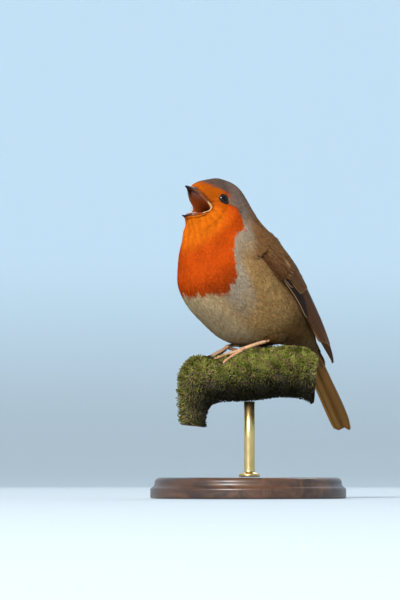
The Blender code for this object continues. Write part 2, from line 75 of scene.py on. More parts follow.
MOUTH = np.array((
    (-31.0, 70.6, -34.2, 61.2, 5.35, 6.9, 6.0, 1.0),     # inner lips
    (-27.5, 68.0, -31.0, 59.6, 4.9, 3.6, 4.0, 1.0),      # palate
    (-23.5, 64.6, -27.0, 57.6, 4.3, 1.2, 2.0, 1.0),      # soft palate
    (-19.8, 61.6, -22.5, 56.0, 3.0, 0.0, 2.0, 1.0),      # throat
))
THROAT_END = (0.0, -18.5, 57.0)
LAST_RING = len(BODY) - 1.0
HEAD_TURN, TURN_AXIS_Y, TURN_START, TURN_END = 8.0 * DEGREE, -19.0, 46.0, 64.0
COAT_DEPTH = (0.35, 0.8, 1.15, 1.4, 1.9, 2.5, 3.0, 3.4, 3.4, 3.2, 2.8, 2.0, 1.2)

# --- Eyes ---
EYE_CENTRE = (6.6, -20.4, 67.4)
EYE_RADIUS = 3.05
EYE_PLACE = (2.08, 65.0 * DEGREE)       # ring count and angle where the eye opens
EYE_OPENING = (2.2, 2.0)                # half sizes along the head and up
HOLLOW_DEPTH, HOLLOW_REACH = 1.8, (1.3, 2.25)
IRIS_INNER, IRIS_OUTER = (25, 28), (37, 41)     # degrees over which it sets in and ends
LID_RADIUS, LID_WRINKLES = 0.21, 26

LEVEL = (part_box("eye_left")[0].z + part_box("eye_left")[1].z) / 2 / MM - EYE_CENTRE[2]

# --- Bill ---
UPPER_BILL_TIP, LOWER_BILL_TIP = (0.0, -36.9, 73.6), (0.0, -38.5, 60.2)
BILL_TAPER = 1.35                       # power of the share left to the tip in a bill's width
NOSTRIL_PLACE, NOSTRIL_SIZE = (0.13, 0.55), (0.06, 0.09)    # share to the tip, and radians
BRISTLE_COUNT, BRISTLE_RADIUS = 26, 0.04
TONGUE = ((-26.4, 60.6), (-33.4, 61.9))

# --- Wings: upper edge, lower edge, bulge, thickness, from the bend (0) to the tip (9) ---
WING = np.array((
    (15.6, -8.0, 53.2, 17.6, -11.6, 50.0, 0.6, 1.4),
    (15.4, -1.4, 52.6, 20.4, -8.6, 43.5, 1.4, 2.2),
    (13.6, 6.4, 48.8, 22.2, -2.8, 36.0, 2.2, 2.6),
    (11.2, 14.2, 42.6, 22.0, 4.2, 30.0, 2.8, 2.6),
    (8.8, 21.4, 34.8, 20.2, 11.5, 23.5, 2.9, 2.4),
    (6.9, 28.6, 26.6, 17.4, 18.8, 16.0, 2.6, 2.0),
    (5.6, 35.2, 18.2, 13.0, 28.0, 9.2, 1.9, 1.6),
    (4.8, 40.4, 10.0, 9.4, 35.6, 3.6, 1.1, 1.3),
    (4.4, 43.8, 3.0, 6.8, 41.0, -0.4, 0.5, 1.0),
    (4.2, 45.0, -1.6, 4.8, 44.2, -2.0, 0.1, 0.8),
))

# --- Tail: (y, z) of its middle line, half width, thickness, from root (0) to tip (6) ---
TAIL = np.array((
    (29.4, 13.9, 5.2, 5.4),
    (32.6, 8.6, 5.6, 3.2),
    (37.4, 0.4, 6.1, 1.9),
    (43.4, -10.2, 6.8, 1.4),
    (48.8, -19.6, 7.3, 1.1),
    (52.6, -26.6, 7.0, 0.9),
    (55.0, -31.6, 5.6, 0.8),
))

# --- Branch: top (along, z), underside (along, z), half depth ---
BRANCH_AXIS, BRANCH_THROUGH = (0.6018, 0.7986), (3.4, -2.6)
BRANCH = np.array((
    (30.5, -1.2, 28.4, -21.0, 10.4),
    (24.0, 3.0, 23.0, -18.6, 11.4),
    (14.5, 3.5, 14.0, -18.0, 12.0),
    (2.0, 2.8, 3.0, -19.3, 12.3),
    (-9.0, 0.3, -8.0, -19.8, 11.6),
    (-16.5, -1.2, -13.0, -20.3, 10.6),
    (-23.5, -0.8, -16.0, -21.5, 9.6),
    (-29.3, -6.0, -17.4, -23.6, 8.2),
    (-30.3, -15.0, -18.2, -26.0, 7.0),
    (-30.1, -23.0, -18.4, -28.4, 6.5),
    (-29.8, -30.0, -18.2, -31.0, 6.2),
))

# --- Legs ---
FEET = {"left": (5.0, -6.6, 3.05), "right": (-4.0, -8.5, 4.2)}
KNEES = {"left": (12.8, 1.8, 7.0), "right": (-11.0, 4.0, 5.8)}
THIGH_CENTRE, THIGH_RADII = (11.6, 6.0, 9.6), (3.8, 6.5, 4.3)
SHANK_RADIUS = 0.8
TOE_RADII = (0.66, 0.62, 0.5)

# --- Colours ---
COLOURS = {name: np.array(rgb) for name, rgb in {
    "orange": (0.43, 0.05, 0.001),
    "deep_orange": (0.41, 0.076, 0.001),
    "gold_orange": (0.58, 0.115, 0.002),
    "crown": (0.155, 0.096, 0.074),
    "mantle": (0.195, 0.09, 0.032),
    "rump": (0.17, 0.09, 0.034),
    "grey": (0.25, 0.205, 0.15),
    "flank": (0.285, 0.158, 0.056),
    "white": (0.35, 0.245, 0.13),
    # Painted shade: the lower belly's buff, darkened to brown as it lies in shade.
    "shaded_low_belly": (0.13, 0.06, 0.016),
    # The vent's buff, darkened in part with painted shade.
    "vent": (0.135, 0.078, 0.032),
    "wing": (0.115, 0.042, 0.015),
    "wing_fringe": (0.3, 0.135, 0.052),
    "covert": (0.118, 0.048, 0.016),
    "primary": (0.022, 0.011, 0.0075),
    "primary_fringe": (0.3, 0.17, 0.09),
    "buff": (0.4, 0.23, 0.1),
    "tail": (0.28, 0.13, 0.032),
    "tail_fringe": (0.38, 0.2, 0.065),
    "bare_dark": (0.012, 0.009, 0.008),
    "horn": (0.014, 0.01, 0.012),
    "pale_horn": (0.14, 0.042, 0.016),
    "gape": (0.78, 0.44, 0.2),
    "mouth_rim": (0.23, 0.055, 0.018),
    "mouth": (0.3, 0.052, 0.007),
    # Painted shade: the mouth's lining goes near black deep in the throat.
    "throat": (0.03, 0.004, 0.002),
    "flesh": (0.75, 0.46, 0.36),
    "leg": (0.6, 0.32, 0.16),
    "leg_gap": (0.2, 0.085, 0.04),
    "pupil": (0.004, 0.003, 0.003),
    "iris": (0.03, 0.012, 0.005),
    "bark": (0.10, 0.075, 0.045),
    "shaded_bark_furrow": (0.045, 0.032, 0.02),
    "bark_green": (0.13, 0.12, 0.035),
    "sawn_wood": (0.42, 0.27, 0.14),
    "growth_ring": (0.25, 0.15, 0.07),
    "moss": (0.33, 0.32, 0.07),
    "moss_shade": (0.14, 0.16, 0.02),
    "moss_tip": (0.30, 0.20, 0.09),
}.items()}


# --- Small tools ---
def smooth(x, low, high):
    """Eased step: 0 up to low, 1 from high, and 3 f^2 - 2 f^3 of the way f between."""
    f = np.clip((np.asarray(x, float) - low) / (high - low), 0.0, 1.0)
    return f * f * (3.0 - 2.0 * f)


def mix(first, second, share):
    """First + (second - first) * share, for colours with a share each."""
    return first + (second - first) * np.asarray(share)[..., None]


def alike(*values):
    """Values as arrays of numbers, spread to one shape."""
    return np.broadcast_arrays(*(np.asarray(value, float) for value in values))


def shares(count):
    """Shares from 0 to 1, evenly."""
    return np.linspace(0.0, 1.0, count)


def circle(count):
    """Angles evenly round a full turn, in radians."""
    return np.linspace(0.0, 2 * math.pi, count, endpoint=False)


def bell(x, middle, width):
    """Bell curve: exp(-((x - middle) / width)^2)."""
    return np.exp(-((x - middle) / width) ** 2)


def swept(first, second, angle):
    """First * cos of the angle + second * sin of it, for two directions."""
    return first * np.cos(angle)[..., None] + second * np.sin(angle)[..., None]


def unit(vectors):
    """Vectors divided by their lengths."""
    return vectors / np.maximum(np.linalg.norm(vectors, axis=-1, keepdims=True), 1e-9)


def eased(rows, at):
    """Rows read at fractional positions on Catmull-Rom curves through them."""
    rows, at = np.asarray(rows, float), np.asarray(at, float)
    last = len(rows) - 1
    i = np.clip(np.floor(at).astype(int), 0, last - 1)
    f = (at - i)[..., None]
    before, here = rows[np.maximum(i - 1, 0)], rows[i]
    after, beyond = rows[i + 1], rows[np.minimum(i + 2, last)]
    return here + 0.5 * ((after - before) * f
                         + (2 * before - 5 * here + 4 * after - beyond) * f**2
                         + (3 * here - before - 3 * after + beyond) * f**3)


def ripple(points, size, seed):
    """Smooth noise from -1 to 1: the mean of six sine waves of about that size in mm, squeezed."""
    random = np.random.default_rng(seed)
    waves = unit(random.normal(size=(6, 3))) * random.uniform(0.7, 1.6, (6, 1))
    phase = random.uniform(0.0, 2 * math.pi, 6)
    return np.tanh(np.sin(points @ (waves.T * 2 * math.pi / size) + phase).sum(-1) * 0.55)


# --- Surfaces: each gives points in mm for two counts of any shape ---
RUN_STEP = 0.05                         # counts each way over which a run is measured


def turned(points):
    """The head's turn about an upright axis, which grows with an eased step over the neck."""
    angle = HEAD_TURN * smooth(points[..., 2], TURN_START, TURN_END)
    x, y = points[..., 0], points[..., 1] - TURN_AXIS_Y
    return np.stack([x * np.cos(angle) - y * np.sin(angle),
                     TURN_AXIS_Y + x * np.sin(angle) + y * np.cos(angle), points[..., 2]], -1)


def ring_frame(row):
    """Middle of a ring whose row starts with its top and its underside, and half the way from
    the underside to the top.
    """
    return (row[..., 0:2] + row[..., 2:4]) / 2, (row[..., 0:2] - row[..., 2:4]) / 2


def ringed(rings, t, a):
    """Bowed elliptical rings, before the head's turn.

    The ring's middle is midway between its top and its underside. A point is the middle +
    half height * cos a, with x = half width * |sin a| ^ fullness on sin a's side, pushed back
    along the ring's own axis by bow * |sin a| ^ sharpness. Under the middle the sharpness is
    halved, but no less than 2.
    """
    t, a = alike(t, a)
    row = eased(rings, t)
    middle, half = ring_frame(row)
    back = unit(np.stack([half[..., 1], -half[..., 0]], -1))
    sine = np.abs(np.sin(a))
    sharpness = np.where(np.cos(a) < 0, np.maximum(row[..., 6] / 2, 2.0), row[..., 6])
    x = row[..., 4] * np.sign(np.sin(a)) * sine ** row[..., 7]
    yz = middle + half * np.cos(a)[..., None] + back * (row[..., 5] * sine**sharpness)[..., None]
    return np.concatenate([x[..., None], yz], -1)


def body(t, a):
    """The outside of the body's plumage."""
    return turned(ringed(BODY, t, a))


def wing(u, v, share=0.0):
    """The left wing: upper edge + chord * v, standing off by bulge * sin(pi v) + share * half
    the thickness there, which shrinks to 0.3 of itself at the edges.
    """
    u, v, share = alike(u, v, share)
    row = eased(WING, u)
    ahead, behind = eased(WING, u + RUN_STEP), eased(WING, u - RUN_STEP)
    run = ahead[..., 0:3] + ahead[..., 3:6] - behind[..., 0:3] - behind[..., 3:6]
    chord = row[..., 3:6] - row[..., 0:3]
    out = unit(np.cross(chord, run))
    edge = 0.3 + 0.7 * np.sqrt(np.clip(4 * v * (1 - v), 0.0, 1.0))
    stand = row[..., 6] * np.sin(math.pi * v) + share * row[..., 7] / 2 * edge
    return row[..., 0:3] + chord * v[..., None] + out * stand[..., None]


def tail(u, v, share=0.0):
    """The tail: x = v * half width, on its middle line, standing off it by share * half its
    thickness, squared to its run, and drooping by 0.5 v^2 at its sides.
    """
    u, v, share = alike(u, v, share)
    row = eased(TAIL, u)
    run = unit(eased(TAIL, u + RUN_STEP)[..., 0:2] - eased(TAIL, u - RUN_STEP)[..., 0:2])
    stand = share * row[..., 3] / 2 - 0.5 * v**2
    return np.stack([v * row[..., 2], row[..., 0] - run[..., 1] * stand,
                     row[..., 1] + run[..., 0] * stand], -1)


def branch(t, a):
    """The branch's bark: elliptical rings of half height * cos a and half depth * -sin a."""
    t, a = alike(t, a)
    row = eased(BRANCH, t)
    middle, half = ring_frame(row)
    along, z = np.moveaxis(middle + half * np.cos(a)[..., None], -1, 0)
    return branch_point(along, -row[..., 4] * np.sin(a), z)


def branch_point(along, across, z):
    """The point at a distance along and across the branch, at a height."""
    (ax, ay), (ox, oy) = BRANCH_AXIS, BRANCH_THROUGH
    return np.stack([ox + along * ax + across * ay, oy + along * ay - across * ax, z], -1)


def branch_plan(points):
    """How far along and across the branch points are in plan."""
    (ax, ay), (ox, oy) = BRANCH_AXIS, BRANCH_THROUGH
    dx, dy = points[..., 0] - ox, points[..., 1] - oy
    return dx * ax + dy * ay, dx * ay - dy * ax


def thigh(t, a):
    """The left thigh: an ellipsoid whose rings run from its rear pole to its front one, where
    t goes from 0 to 1.
    """
    t, a = alike(t, a)
    polar = math.pi * np.clip(t, 0.02, 0.98)
    ball = np.stack([np.sin(polar) * np.sin(a), np.cos(polar), -np.sin(polar) * np.cos(a)], -1)
    return np.array(THIGH_CENTRE) + ball * THIGH_RADII


def lie(surface, t, a, step=0.02):
    """Where a surface is and how it lies: point, outward normal, unit direction and mm per
    count along t, and the same round a, from differences over a small step.
    """
    along = (surface(t + step, a) - surface(t - step, a)) / (2 * step)
    around = (surface(t, a + step) - surface(t, a - step)) / (2 * step)
    per_t, per_a = np.linalg.norm(along, axis=-1), np.linalg.norm(around, axis=-1)
    return surface(t, a), unit(np.cross(around, along)), unit(along), per_t, unit(around), per_a


def eye_frame(side):
    """Middle of an eye, the way it looks, and its directions towards the tail and downwards."""
    sign = SIGNS[side]
    _, out, along, _, around, _ = lie(body, EYE_PLACE[0], EYE_PLACE[1] * sign)
    return turned(np.array(EYE_CENTRE) * (sign, 1.0, 1.0)), out, along, around * sign


EYES = {side: eye_frame(side) for side in SIDES}


# --- Meshes ---
NO_FACES = np.zeros((0, 3), int)


def woven(rows, columns, wrap_rows=False, wrap_columns=True):
    """Quads of a grid of points, row by row, that may close on itself either way."""
    r, c = np.arange(rows - (not wrap_rows))[:, None], np.arange(columns - (not wrap_columns))
    r2, c2 = (r + 1) % rows * columns, (c + 1) % columns
    return np.stack([r * columns + c, r * columns + c2, r2 + c2, r2 + c], -1).reshape(-1, 4)


def closed_faces(rows, columns, count=1):
    """Quads of tubes of closed rings, and triangles to a pole at each end. A tube's points are
    its rings, then its first pole and its last.
    """
    c = np.arange(columns)
    d, last, pole = (c + 1) % columns, (rows - 1) * columns, np.full(columns, rows * columns)
    tris = np.concatenate([np.stack([d, c, pole], -1), np.stack([last + c, last + d, pole + 1], -1)])
    shift = np.arange(count)[:, None, None] * (rows * columns + 2)
    return (woven(rows, columns) + shift).reshape(-1, 4), (tris + shift).reshape(-1, 3)


def outwards(points, quads, tris):
    """Faces of a closed shell, turned over where the volume inside them comes out negative."""
    halves = np.concatenate([quads[:, (0, 1, 2)], quads[:, (0, 2, 3)], tris])
    one, two, three = ((points - points.mean(0))[halves[:, i]] for i in range(3))
    turn = -1 if np.einsum("ij,ij->", one, np.cross(two, three)) < 0 else 1
    return quads[:, ::turn], tris[:, ::turn]


def with_poles(values):
    """Values given as (tube, ring, point, n) in the order of closed_faces: a tube's rings, then
    the mean of its first ring and of its last for the poles.
    """
    count, size = len(values), values.shape[-1]
    ends = values[:, (0, -1)].mean(2)
    return np.concatenate([values.reshape(count, -1, size), ends], 1).reshape(-1, size)


def closed_tubes(rings, colours, poles=None):
    """Shell of tubes, rings given as (tube, ring, point, xyz), ends closed at their middles or
    at given poles.
    """
    count, rows, columns = rings.shape[:3]
    points = with_poles(rings)
    if poles is not None:
        points.reshape(count, -1, 3)[:, -2:] = poles
    quads, tris = outwards(points, *closed_faces(rows, columns, count))
    return points, quads, tris, with_poles(np.broadcast_to(colours, rings.shape))


def ring_shell(rings, colours):
    """Shell of a tube that closes on itself, given as (ring, point, xyz)."""
    points, rows, columns = rings.reshape(-1, 3), *rings.shape[:2]
    quads, tris = outwards(points, woven(rows, columns, wrap_rows=True), NO_FACES)
    return points, quads, tris, np.broadcast_to(colours, rings.shape).reshape(-1, 3)


def joined(shells):
    """Several shells as one."""
    starts = np.cumsum([0] + [len(shell[0]) for shell in shells[:-1]])
    points, quads, tris, colours = zip(*shells)
    return (np.concatenate(points),
            np.concatenate([faces + start for faces, start in zip(quads, starts)]),
            np.concatenate([faces + start for faces, start in zip(tris, starts)]),
            np.concatenate(colours))


def mirrored(shell):
    """A shell's mirror image across the bird's middle, its faces still outwards."""
    points, quads, tris, colours = shell
    return points * (-1.0, 1.0, 1.0), quads[:, ::-1], tris[:, ::-1], colours


def on_side(shell, side):
    """A left shell as it is, or mirrored for the right."""
    return shell if side == "left" else mirrored(shell)


def make_piece(name, shell, finish, uvs=(), paints=(), marks=None, level=LEVEL):
    """Object from a shell in mm over a level, riding on the root.

    finish names one finish, or several of which marks give each face its own. uvs are (map
    name, place of each point), and paints (attribute, colour of each point).
    """
    points, quads, tris, colours = shell
    quads, tris = np.asarray(quads).reshape(-1, 4), np.asarray(tris).reshape(-1, 3)
    corners = np.concatenate([quads.ravel(), tris.ravel()]).astype(np.int32)
    starts = np.concatenate([np.arange(len(quads)) * 4,
                             len(quads) * 4 + np.arange(len(tris)) * 3]).astype(np.int32)
    mesh = bpy.data.meshes.new(name)
    mesh.vertices.add(len(points))
    mesh.vertices.foreach_set("co", ((points + (0.0, 0.0, level)) * MM).ravel())
    mesh.loops.add(len(corners))
    mesh.loops.foreach_set("vertex_index", corners)
    mesh.polygons.add(len(starts))
    mesh.polygons.foreach_set("loop_start", starts)
    for each in finish.split():
        mesh.materials.append(FINISHES[each])
    if marks is not None:
        mesh.polygons.foreach_set("material_index", marks.astype(np.int32))
    for title, places in uvs:
        layer = mesh.uv_layers.new(name=title)
        layer.uv.foreach_set("vector", places[corners].astype(np.float32).ravel())
    mesh.update(calc_edges=True)
    mesh.shade_smooth()
    for title, values in (("colour", colours), *paints):
        paint = mesh.attributes.new(title, "FLOAT_COLOR", "POINT")
        full = np.concatenate([np.clip(values, 0.0, 1.0), np.ones((len(values), 1))], 1)
        paint.data.foreach_set("color", full.astype(np.float32).ravel())
    piece = bpy.data.objects.new(name, mesh)
    bpy.context.collection.objects.link(piece)
    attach(piece, "root")
    return piece


def along_path(path, radii, columns=14):
    """Rings square to a path: radius * cos to the side and radius * sin upwards."""
    run = unit(np.gradient(path, axis=0))
    side = unit(np.cross(run, (0.0, 0.0, 1.0)))
    spread = swept(side[:, None], np.cross(side, run)[:, None], circle(columns))
    return path[:, None] + spread * radii.reshape(len(path), -1)[:, :, None]


# --- Materials ---
def add(tree, kind, inputs=None, **settings):
    """A node with its settings, and with its inputs set to values or linked from sockets."""
    made = tree.nodes.new(kind)
    for key, value in settings.items():
        setattr(made, key, value)
    for key, value in (inputs or {}).items():
        if isinstance(value, bpy.types.NodeSocket):
            tree.links.new(value, made.inputs[key])
        else:
            made.inputs[key].default_value = value
    return made


def arithmetic(tree, operation, *values):
    """Output of a maths node, from values or sockets."""
    return add(tree, "ShaderNodeMath", dict(enumerate(values)), operation=operation).outputs[0]


def blend(tree, share, first, second, **settings):
    """Output of a mix of two colours by a share."""
    return add(tree, "ShaderNodeMix", {0: share, 6: first, 7: second}, data_type="RGBA",
               **settings).outputs[2]


def gained(tree, colour, gain):
    """Output of a colour times a gain."""
    return add(tree, "ShaderNodeVectorMath", {0: colour, "Scale": gain},
               operation="SCALE").outputs[0]


def grain(tree, scale, detail, stretch=None, **inputs):
    """Output of a noise in the piece's space in metres, its axes scaled by stretch if given."""
    place = add(tree, "ShaderNodeTexCoord").outputs["Object"]
    if stretch is not None:
        place = add(tree, "ShaderNodeMapping", {"Vector": place, "Scale": stretch}).outputs[0]
    return add(tree, "ShaderNodeTexNoise", {"Vector": place, "Scale": scale, "Detail": detail,
                                            **inputs}).outputs["Fac"]


def paint_of(tree, name):
    """Output of a colour painted on the piece's points."""
    return add(tree, "ShaderNodeAttribute", attribute_name=name).outputs["Color"]


def effect(name, takes, gives, build):
    """A node group: takes and gives are (socket name, socket type, value) rows."""
    tree = bpy.data.node_groups.new(name, "ShaderNodeTree")
    for way, rows in (("INPUT", takes), ("OUTPUT", gives)):
        for title, kind, value in rows:
            socket = tree.interface.new_socket(name=title, in_out=way, socket_type=kind)
            if value is not None:
                socket.default_value = value
    entry, leave = tree.nodes.new("NodeGroupInput"), tree.nodes.new("NodeGroupOutput")
    for title, socket in build(tree, entry.outputs).items():
        tree.links.new(socket, leave.inputs[title])
    return tree


FLOAT, COLOUR = "NodeSocketFloat", "NodeSocketColor"
SHAFT_COLOUR = (0.02, 0.012, 0.008, 1.0)
WOOD_DARK, WOOD_PALE = (0.030, 0.012, 0.006, 1.0), (0.125, 0.052, 0.022, 1.0)
PORE_SHADE, FACE_SHADE = (0.55, 0.5, 0.45, 1.0), (1.25, 1.25, 1.25, 1.0)
BRASS_COLOUR, TARNISH_COLOUR = (0.86, 0.62, 0.27, 1.0), (0.52, 0.34, 0.13, 1.0)
BARB_SLANT = 0.12


def build_mottle(tree, given):
    """Colour * (1 + amount * (2 * noise - 1)), and the noise as a height."""
    noise = grain(tree, given["Scale"], 4.0, Roughness=0.6)
    swing = arithmetic(tree, "MULTIPLY_ADD", noise, 2.0, -1.0)
    gain = arithmetic(tree, "MULTIPLY_ADD", swing, given["Amount"], 1.0)
    return {"Colour": gained(tree, given["Colour"], gain), "Height": noise}


def build_barbs(tree, given):
    """Fine slanting barbs on both sides of a feather's shaft, as a height and a shade, and
    where its shaft is and the fringe of its outer web.

    With x from -1 at the outer edge to 1 at the inner, and y along, the barbs are
    sin(count * (y - slant * |x|)).
    """
    place = add(tree, "ShaderNodeUVMap", uv_map="vane")
    parts = add(tree, "ShaderNodeSeparateXYZ", {0: place.outputs[0]})
    across = arithmetic(tree, "MULTIPLY_ADD", parts.outputs[0], 2.0, -1.0)
    out = arithmetic(tree, "ABSOLUTE", across)
    slanted = arithmetic(tree, "MULTIPLY_ADD", out, -BARB_SLANT, parts.outputs[1])
    wave = arithmetic(tree, "SINE", arithmetic(tree, "MULTIPLY", slanted, given["Count"]))
    height = arithmetic(tree, "MULTIPLY_ADD", wave, 0.5, grain(tree, 900.0, 3.0))
    shaft = add(tree, "ShaderNodeMapRange", {"Value": out, "From Min": 0.03, "From Max": 0.09,
                                             "To Min": 1.0, "To Max": 0.0})
    fringe = add(tree, "ShaderNodeMapRange", {"Value": across, "From Min": -0.35, "From Max": -0.75})
    return {"Height": height,
            "Shade": arithmetic(tree, "MULTIPLY_ADD", height, given["Amount"], 1.0),
            "Shaft": shaft.outputs["Result"], "Fringe": fringe.outputs["Result"]}


MOTTLE = effect("mottle", (("Colour", COLOUR, (0.5, 0.5, 0.5, 1.0)), ("Scale", FLOAT, 400.0),
                           ("Amount", FLOAT, 0.2)),
                (("Colour", COLOUR, None), ("Height", FLOAT, None)), build_mottle)
BARBS = effect("barbs", (("Count", FLOAT, 300.0), ("Amount", FLOAT, 0.12)),
               (("Height", FLOAT, None), ("Shade", FLOAT, None), ("Shaft", FLOAT, None),
                ("Fringe", FLOAT, None)), build_barbs)


def new_finish(name, roughness=0.6, **sockets):
    """Material with a Principled shader whose uniform sockets are set."""
    made = bpy.data.materials.new(name)
    made.use_nodes = True
    shader = made.node_tree.nodes["Principled BSDF"]
    shader.inputs["Roughness"].default_value = roughness
    for title, value in sockets.items():
        shader.inputs[title.replace("_", " ")].default_value = value
    return made, made.node_tree, shader


def bumped(tree, shader, height, strength, depth):
    """Bump of a height, depth in metres, on the shader's normal."""
    bump = add(tree, "ShaderNodeBump", {"Height": height, "Strength": strength,
                                        "Distance": depth})
    tree.links.new(bump.outputs[0], shader.inputs["Normal"])


def painted(name, scale, amount, roughness=0.6, bump=0.3, depth=0.0001, **sockets):
    """Finish in the piece's own colours, mottled, with a bump of the same grain."""
    made, tree, shader = new_finish(name, roughness, **sockets)
    mottle = add(tree, "ShaderNodeGroup", node_tree=MOTTLE)
    tree.links.new(paint_of(tree, "colour"), mottle.inputs["Colour"])
    mottle.inputs["Scale"].default_value = scale
    mottle.inputs["Amount"].default_value = amount
    tree.links.new(mottle.outputs["Colour"], shader.inputs["Base Color"])
    bumped(tree, shader, mottle.outputs["Height"], bump, depth)
    return made


def vane_finish():
    """Flight feather: its web's colour and its outer fringe's, a dark shaft, in fine barbs."""
    made, tree, shader = new_finish("flight_feather", 0.65, Specular_IOR_Level=0.06)
    barbs = add(tree, "ShaderNodeGroup", node_tree=BARBS).outputs
    web = blend(tree, barbs["Fringe"], paint_of(tree, "colour"), paint_of(tree, "fringe"))
    shaft = arithmetic(tree, "MULTIPLY", barbs["Shaft"], 0.7)
    web = blend(tree, shaft, web, SHAFT_COLOUR)
    tree.links.new(gained(tree, web, barbs["Shade"]), shader.inputs["Base Color"])
    bumped(tree, shader, barbs["Height"], 0.5, 0.00005)
    return made


def wood_finish():
    """Dark oiled hardwood: grain and pores stretched along X."""
    made, tree, shader = new_finish("oiled_hardwood", 0.4, Coat_Weight=0.25, Coat_Roughness=0.25)
    figure = grain(tree, 1.0, 8.0, (12.0, 130.0, 130.0), Distortion=1.2)
    pores = grain(tree, 1.0, 3.0, (120.0, 2600.0, 2600.0))
    ramp = add(tree, "ShaderNodeValToRGB", {"Fac": figure})
    stops = ramp.color_ramp.elements
    stops[0].position, stops[0].color = 0.34, WOOD_DARK
    stops[1].position, stops[1].color = 0.66, WOOD_PALE
    shade = blend(tree, pores, PORE_SHADE, FACE_SHADE)
    wood = blend(tree, 1.0, ramp.outputs["Color"], shade, blend_type="MULTIPLY")
    tree.links.new(wood, shader.inputs["Base Color"])
    bumped(tree, shader, pores, 0.25, 0.00008)
    return made


def brass_finish():
    """Brushed brass: fine scratches run round the rod, and it is a little tarnished."""
    made, tree, shader = new_finish("brushed_brass", 0.3, Metallic=1.0)
    brush = grain(tree, 1.0, 4.0, (60.0, 60.0, 5200.0))
    rough = add(tree, "ShaderNodeMapRange", {"Value": brush, "To Min": 0.22, "To Max": 0.48})
    tarnish = grain(tree, 160.0, 5.0)
    brass = blend(tree, tarnish, BRASS_COLOUR, TARNISH_COLOUR)
    tree.links.new(brass, shader.inputs["Base Color"])
    tree.links.new(rough.outputs["Result"], shader.inputs["Roughness"])
    bumped(tree, shader, brush, 0.3, 0.00003)
    return made


# Painted finishes: name, the mottle's scale and amount, roughness, bump and its depth in metres.
FINISHES = {
    "plumage": painted("plumage", 1500.0, 0.22, 0.8, 0.35, 0.00008, Specular_IOR_Level=0.06),
    "skin": painted("feathered_skin", 700.0, 0.3, 0.85, Specular_IOR_Level=0.15),
    "mouth": painted("mouth_lining", 900.0, 0.18, 0.38, 0.25, Specular_IOR_Level=0.25),
    "leg": painted("leg_scales", 1600.0, 0.22, 0.45, 0.3, 0.00006, Specular_IOR_Level=0.45),
    "horn": painted("horn", 1200.0, 0.3, 0.5, 0.2, 0.00005, Specular_IOR_Level=0.14),
    "eye": painted("eye", 2500.0, 0.2, 0.06, 0.0, Specular_IOR_Level=0.22),
    "bark": painted("bark", 420.0, 0.5, 0.9, 0.9, 0.0006, Specular_IOR_Level=0.12),
    "moss": painted("moss", 900.0, 0.45, 0.85, 0.3, 0.0002, Specular_IOR_Level=0.12),
    "vane": vane_finish(),
    "wood": wood_finish(),
    "brass": brass_finish(),
}


# --- Markings of the plumage ---
# Where the orange of the face and breast ends: degrees from the back, and ring counts.
ORANGE_END = (
    (0, 28, 40, 48, 51, 53, 62, 68, 72, 75, 78, 83, 91, 98, 104, 108, 115, 132, 148, 165, 180),
    (0.9, 1.23, 1.56, 2.09, 2.68, 3.0, 3.1, 3.3, 3.8, 4.45, 4.8, 4.74, 4.54, 4.78, 5.18, 5.88,
     6.35, 6.8, 6.48, 6.3, 6.3))


def markings(t, a, points):
    """Colour of the body's plumage at places on it.

    Orange up to ORANGE_END. Past it brown above, a grey band along the orange, then buff olive
    flanks, with white under the belly, and a painted shadow under the wing. Every border is an
    eased step, and noise roughens it.
    """
    down = np.abs(np.degrees((a + math.pi) % (2 * math.pi) - math.pi))
    rough = 0.10 * ripple(points, 5.0, 1) + 0.07 * ripple(points, 1.8, 2)
    past = t - np.interp(down, *ORANGE_END) + rough
    rest = mix(upper_side(t), under_side(t, down + 9 * rough, points), smooth(down + 30 * rough, 66, 92))
    band = (1 - smooth(past, 0.2, 1.9)) * smooth(down, 44, 62) * (1 - smooth(down, 128, 150))
    rest = mix(rest, COLOURS["grey"], 0.85 * band * smooth(t, 3.6, 4.8))
    soft = 0.12 + 0.3 * (1 - smooth(t, 2.4, 4.0))
    colour = mix(orange_side(t, a, down, points), rest, smooth(past / soft, -1.0, 1.0))
    ear_spot = bell(t, 3.0, 0.22) * bell(down, 66.0, 4.0)
    colour = mix(colour, COLOURS["white"], 0.6 * ear_spot)
    # Painted shadow on the body under the tip of the folded wing.
    wing_shadow = bell(t, 9.8, 0.9) * bell(down, 82.0, 14.0)
    neck_streak = bell(down, 72.0 + 3.0 * np.sin(3 * t), 2.0) * smooth(t, 3.0, 3.3)
    neck_streak = neck_streak * (1 - smooth(t, 4.0, 4.5))
    # The painted shadow under the wing, times the neck's real dark streak.
    shadow_and_streak = (1.0 - 0.32 * wing_shadow) * (1.0 - 0.35 * neck_streak)
    return colour * (shadow_and_streak * (1.0 + 0.07 * ripple(points, 9.0, 3) + 0.05 * ripple(points, 2.2, 4)))[..., None]


def upper_side(t):
    """Grey brown of the crown, darkest in front, into the mantle's olive brown and the rump's."""
    front, back = COLOURS["crown"] * 0.6, COLOURS["crown"] * (1.1, 1.15, 1.15)
    colour = mix(mix(front, back, smooth(t, 2.4, 3.8)), COLOURS["mantle"], smooth(t, 3.8, 5.6))
    return mix(colour, COLOURS["rump"], smooth(t, 8.5, 10.5))


def under_side(t, down, points):
    """Buff flanks into a white middle, with long pale flecks. Towards the tail, painted shade
    darkens the low belly, and the vent is buff darkened in part with painted shade.
    """
    colour = mix(COLOURS["flank"], COLOURS["white"], smooth(down, 128, 158))
    # Painted shade on the lower belly.
    colour = mix(colour, COLOURS["shaded_low_belly"], smooth(t, 8.6, 10.2))
    colour = colour * (1.0 + 0.13 * ripple(points * (1.6, 1.6, 0.6), 4.0, 12))[..., None]
    return mix(colour, COLOURS["vent"], smooth(t, 10.4, 11.4))


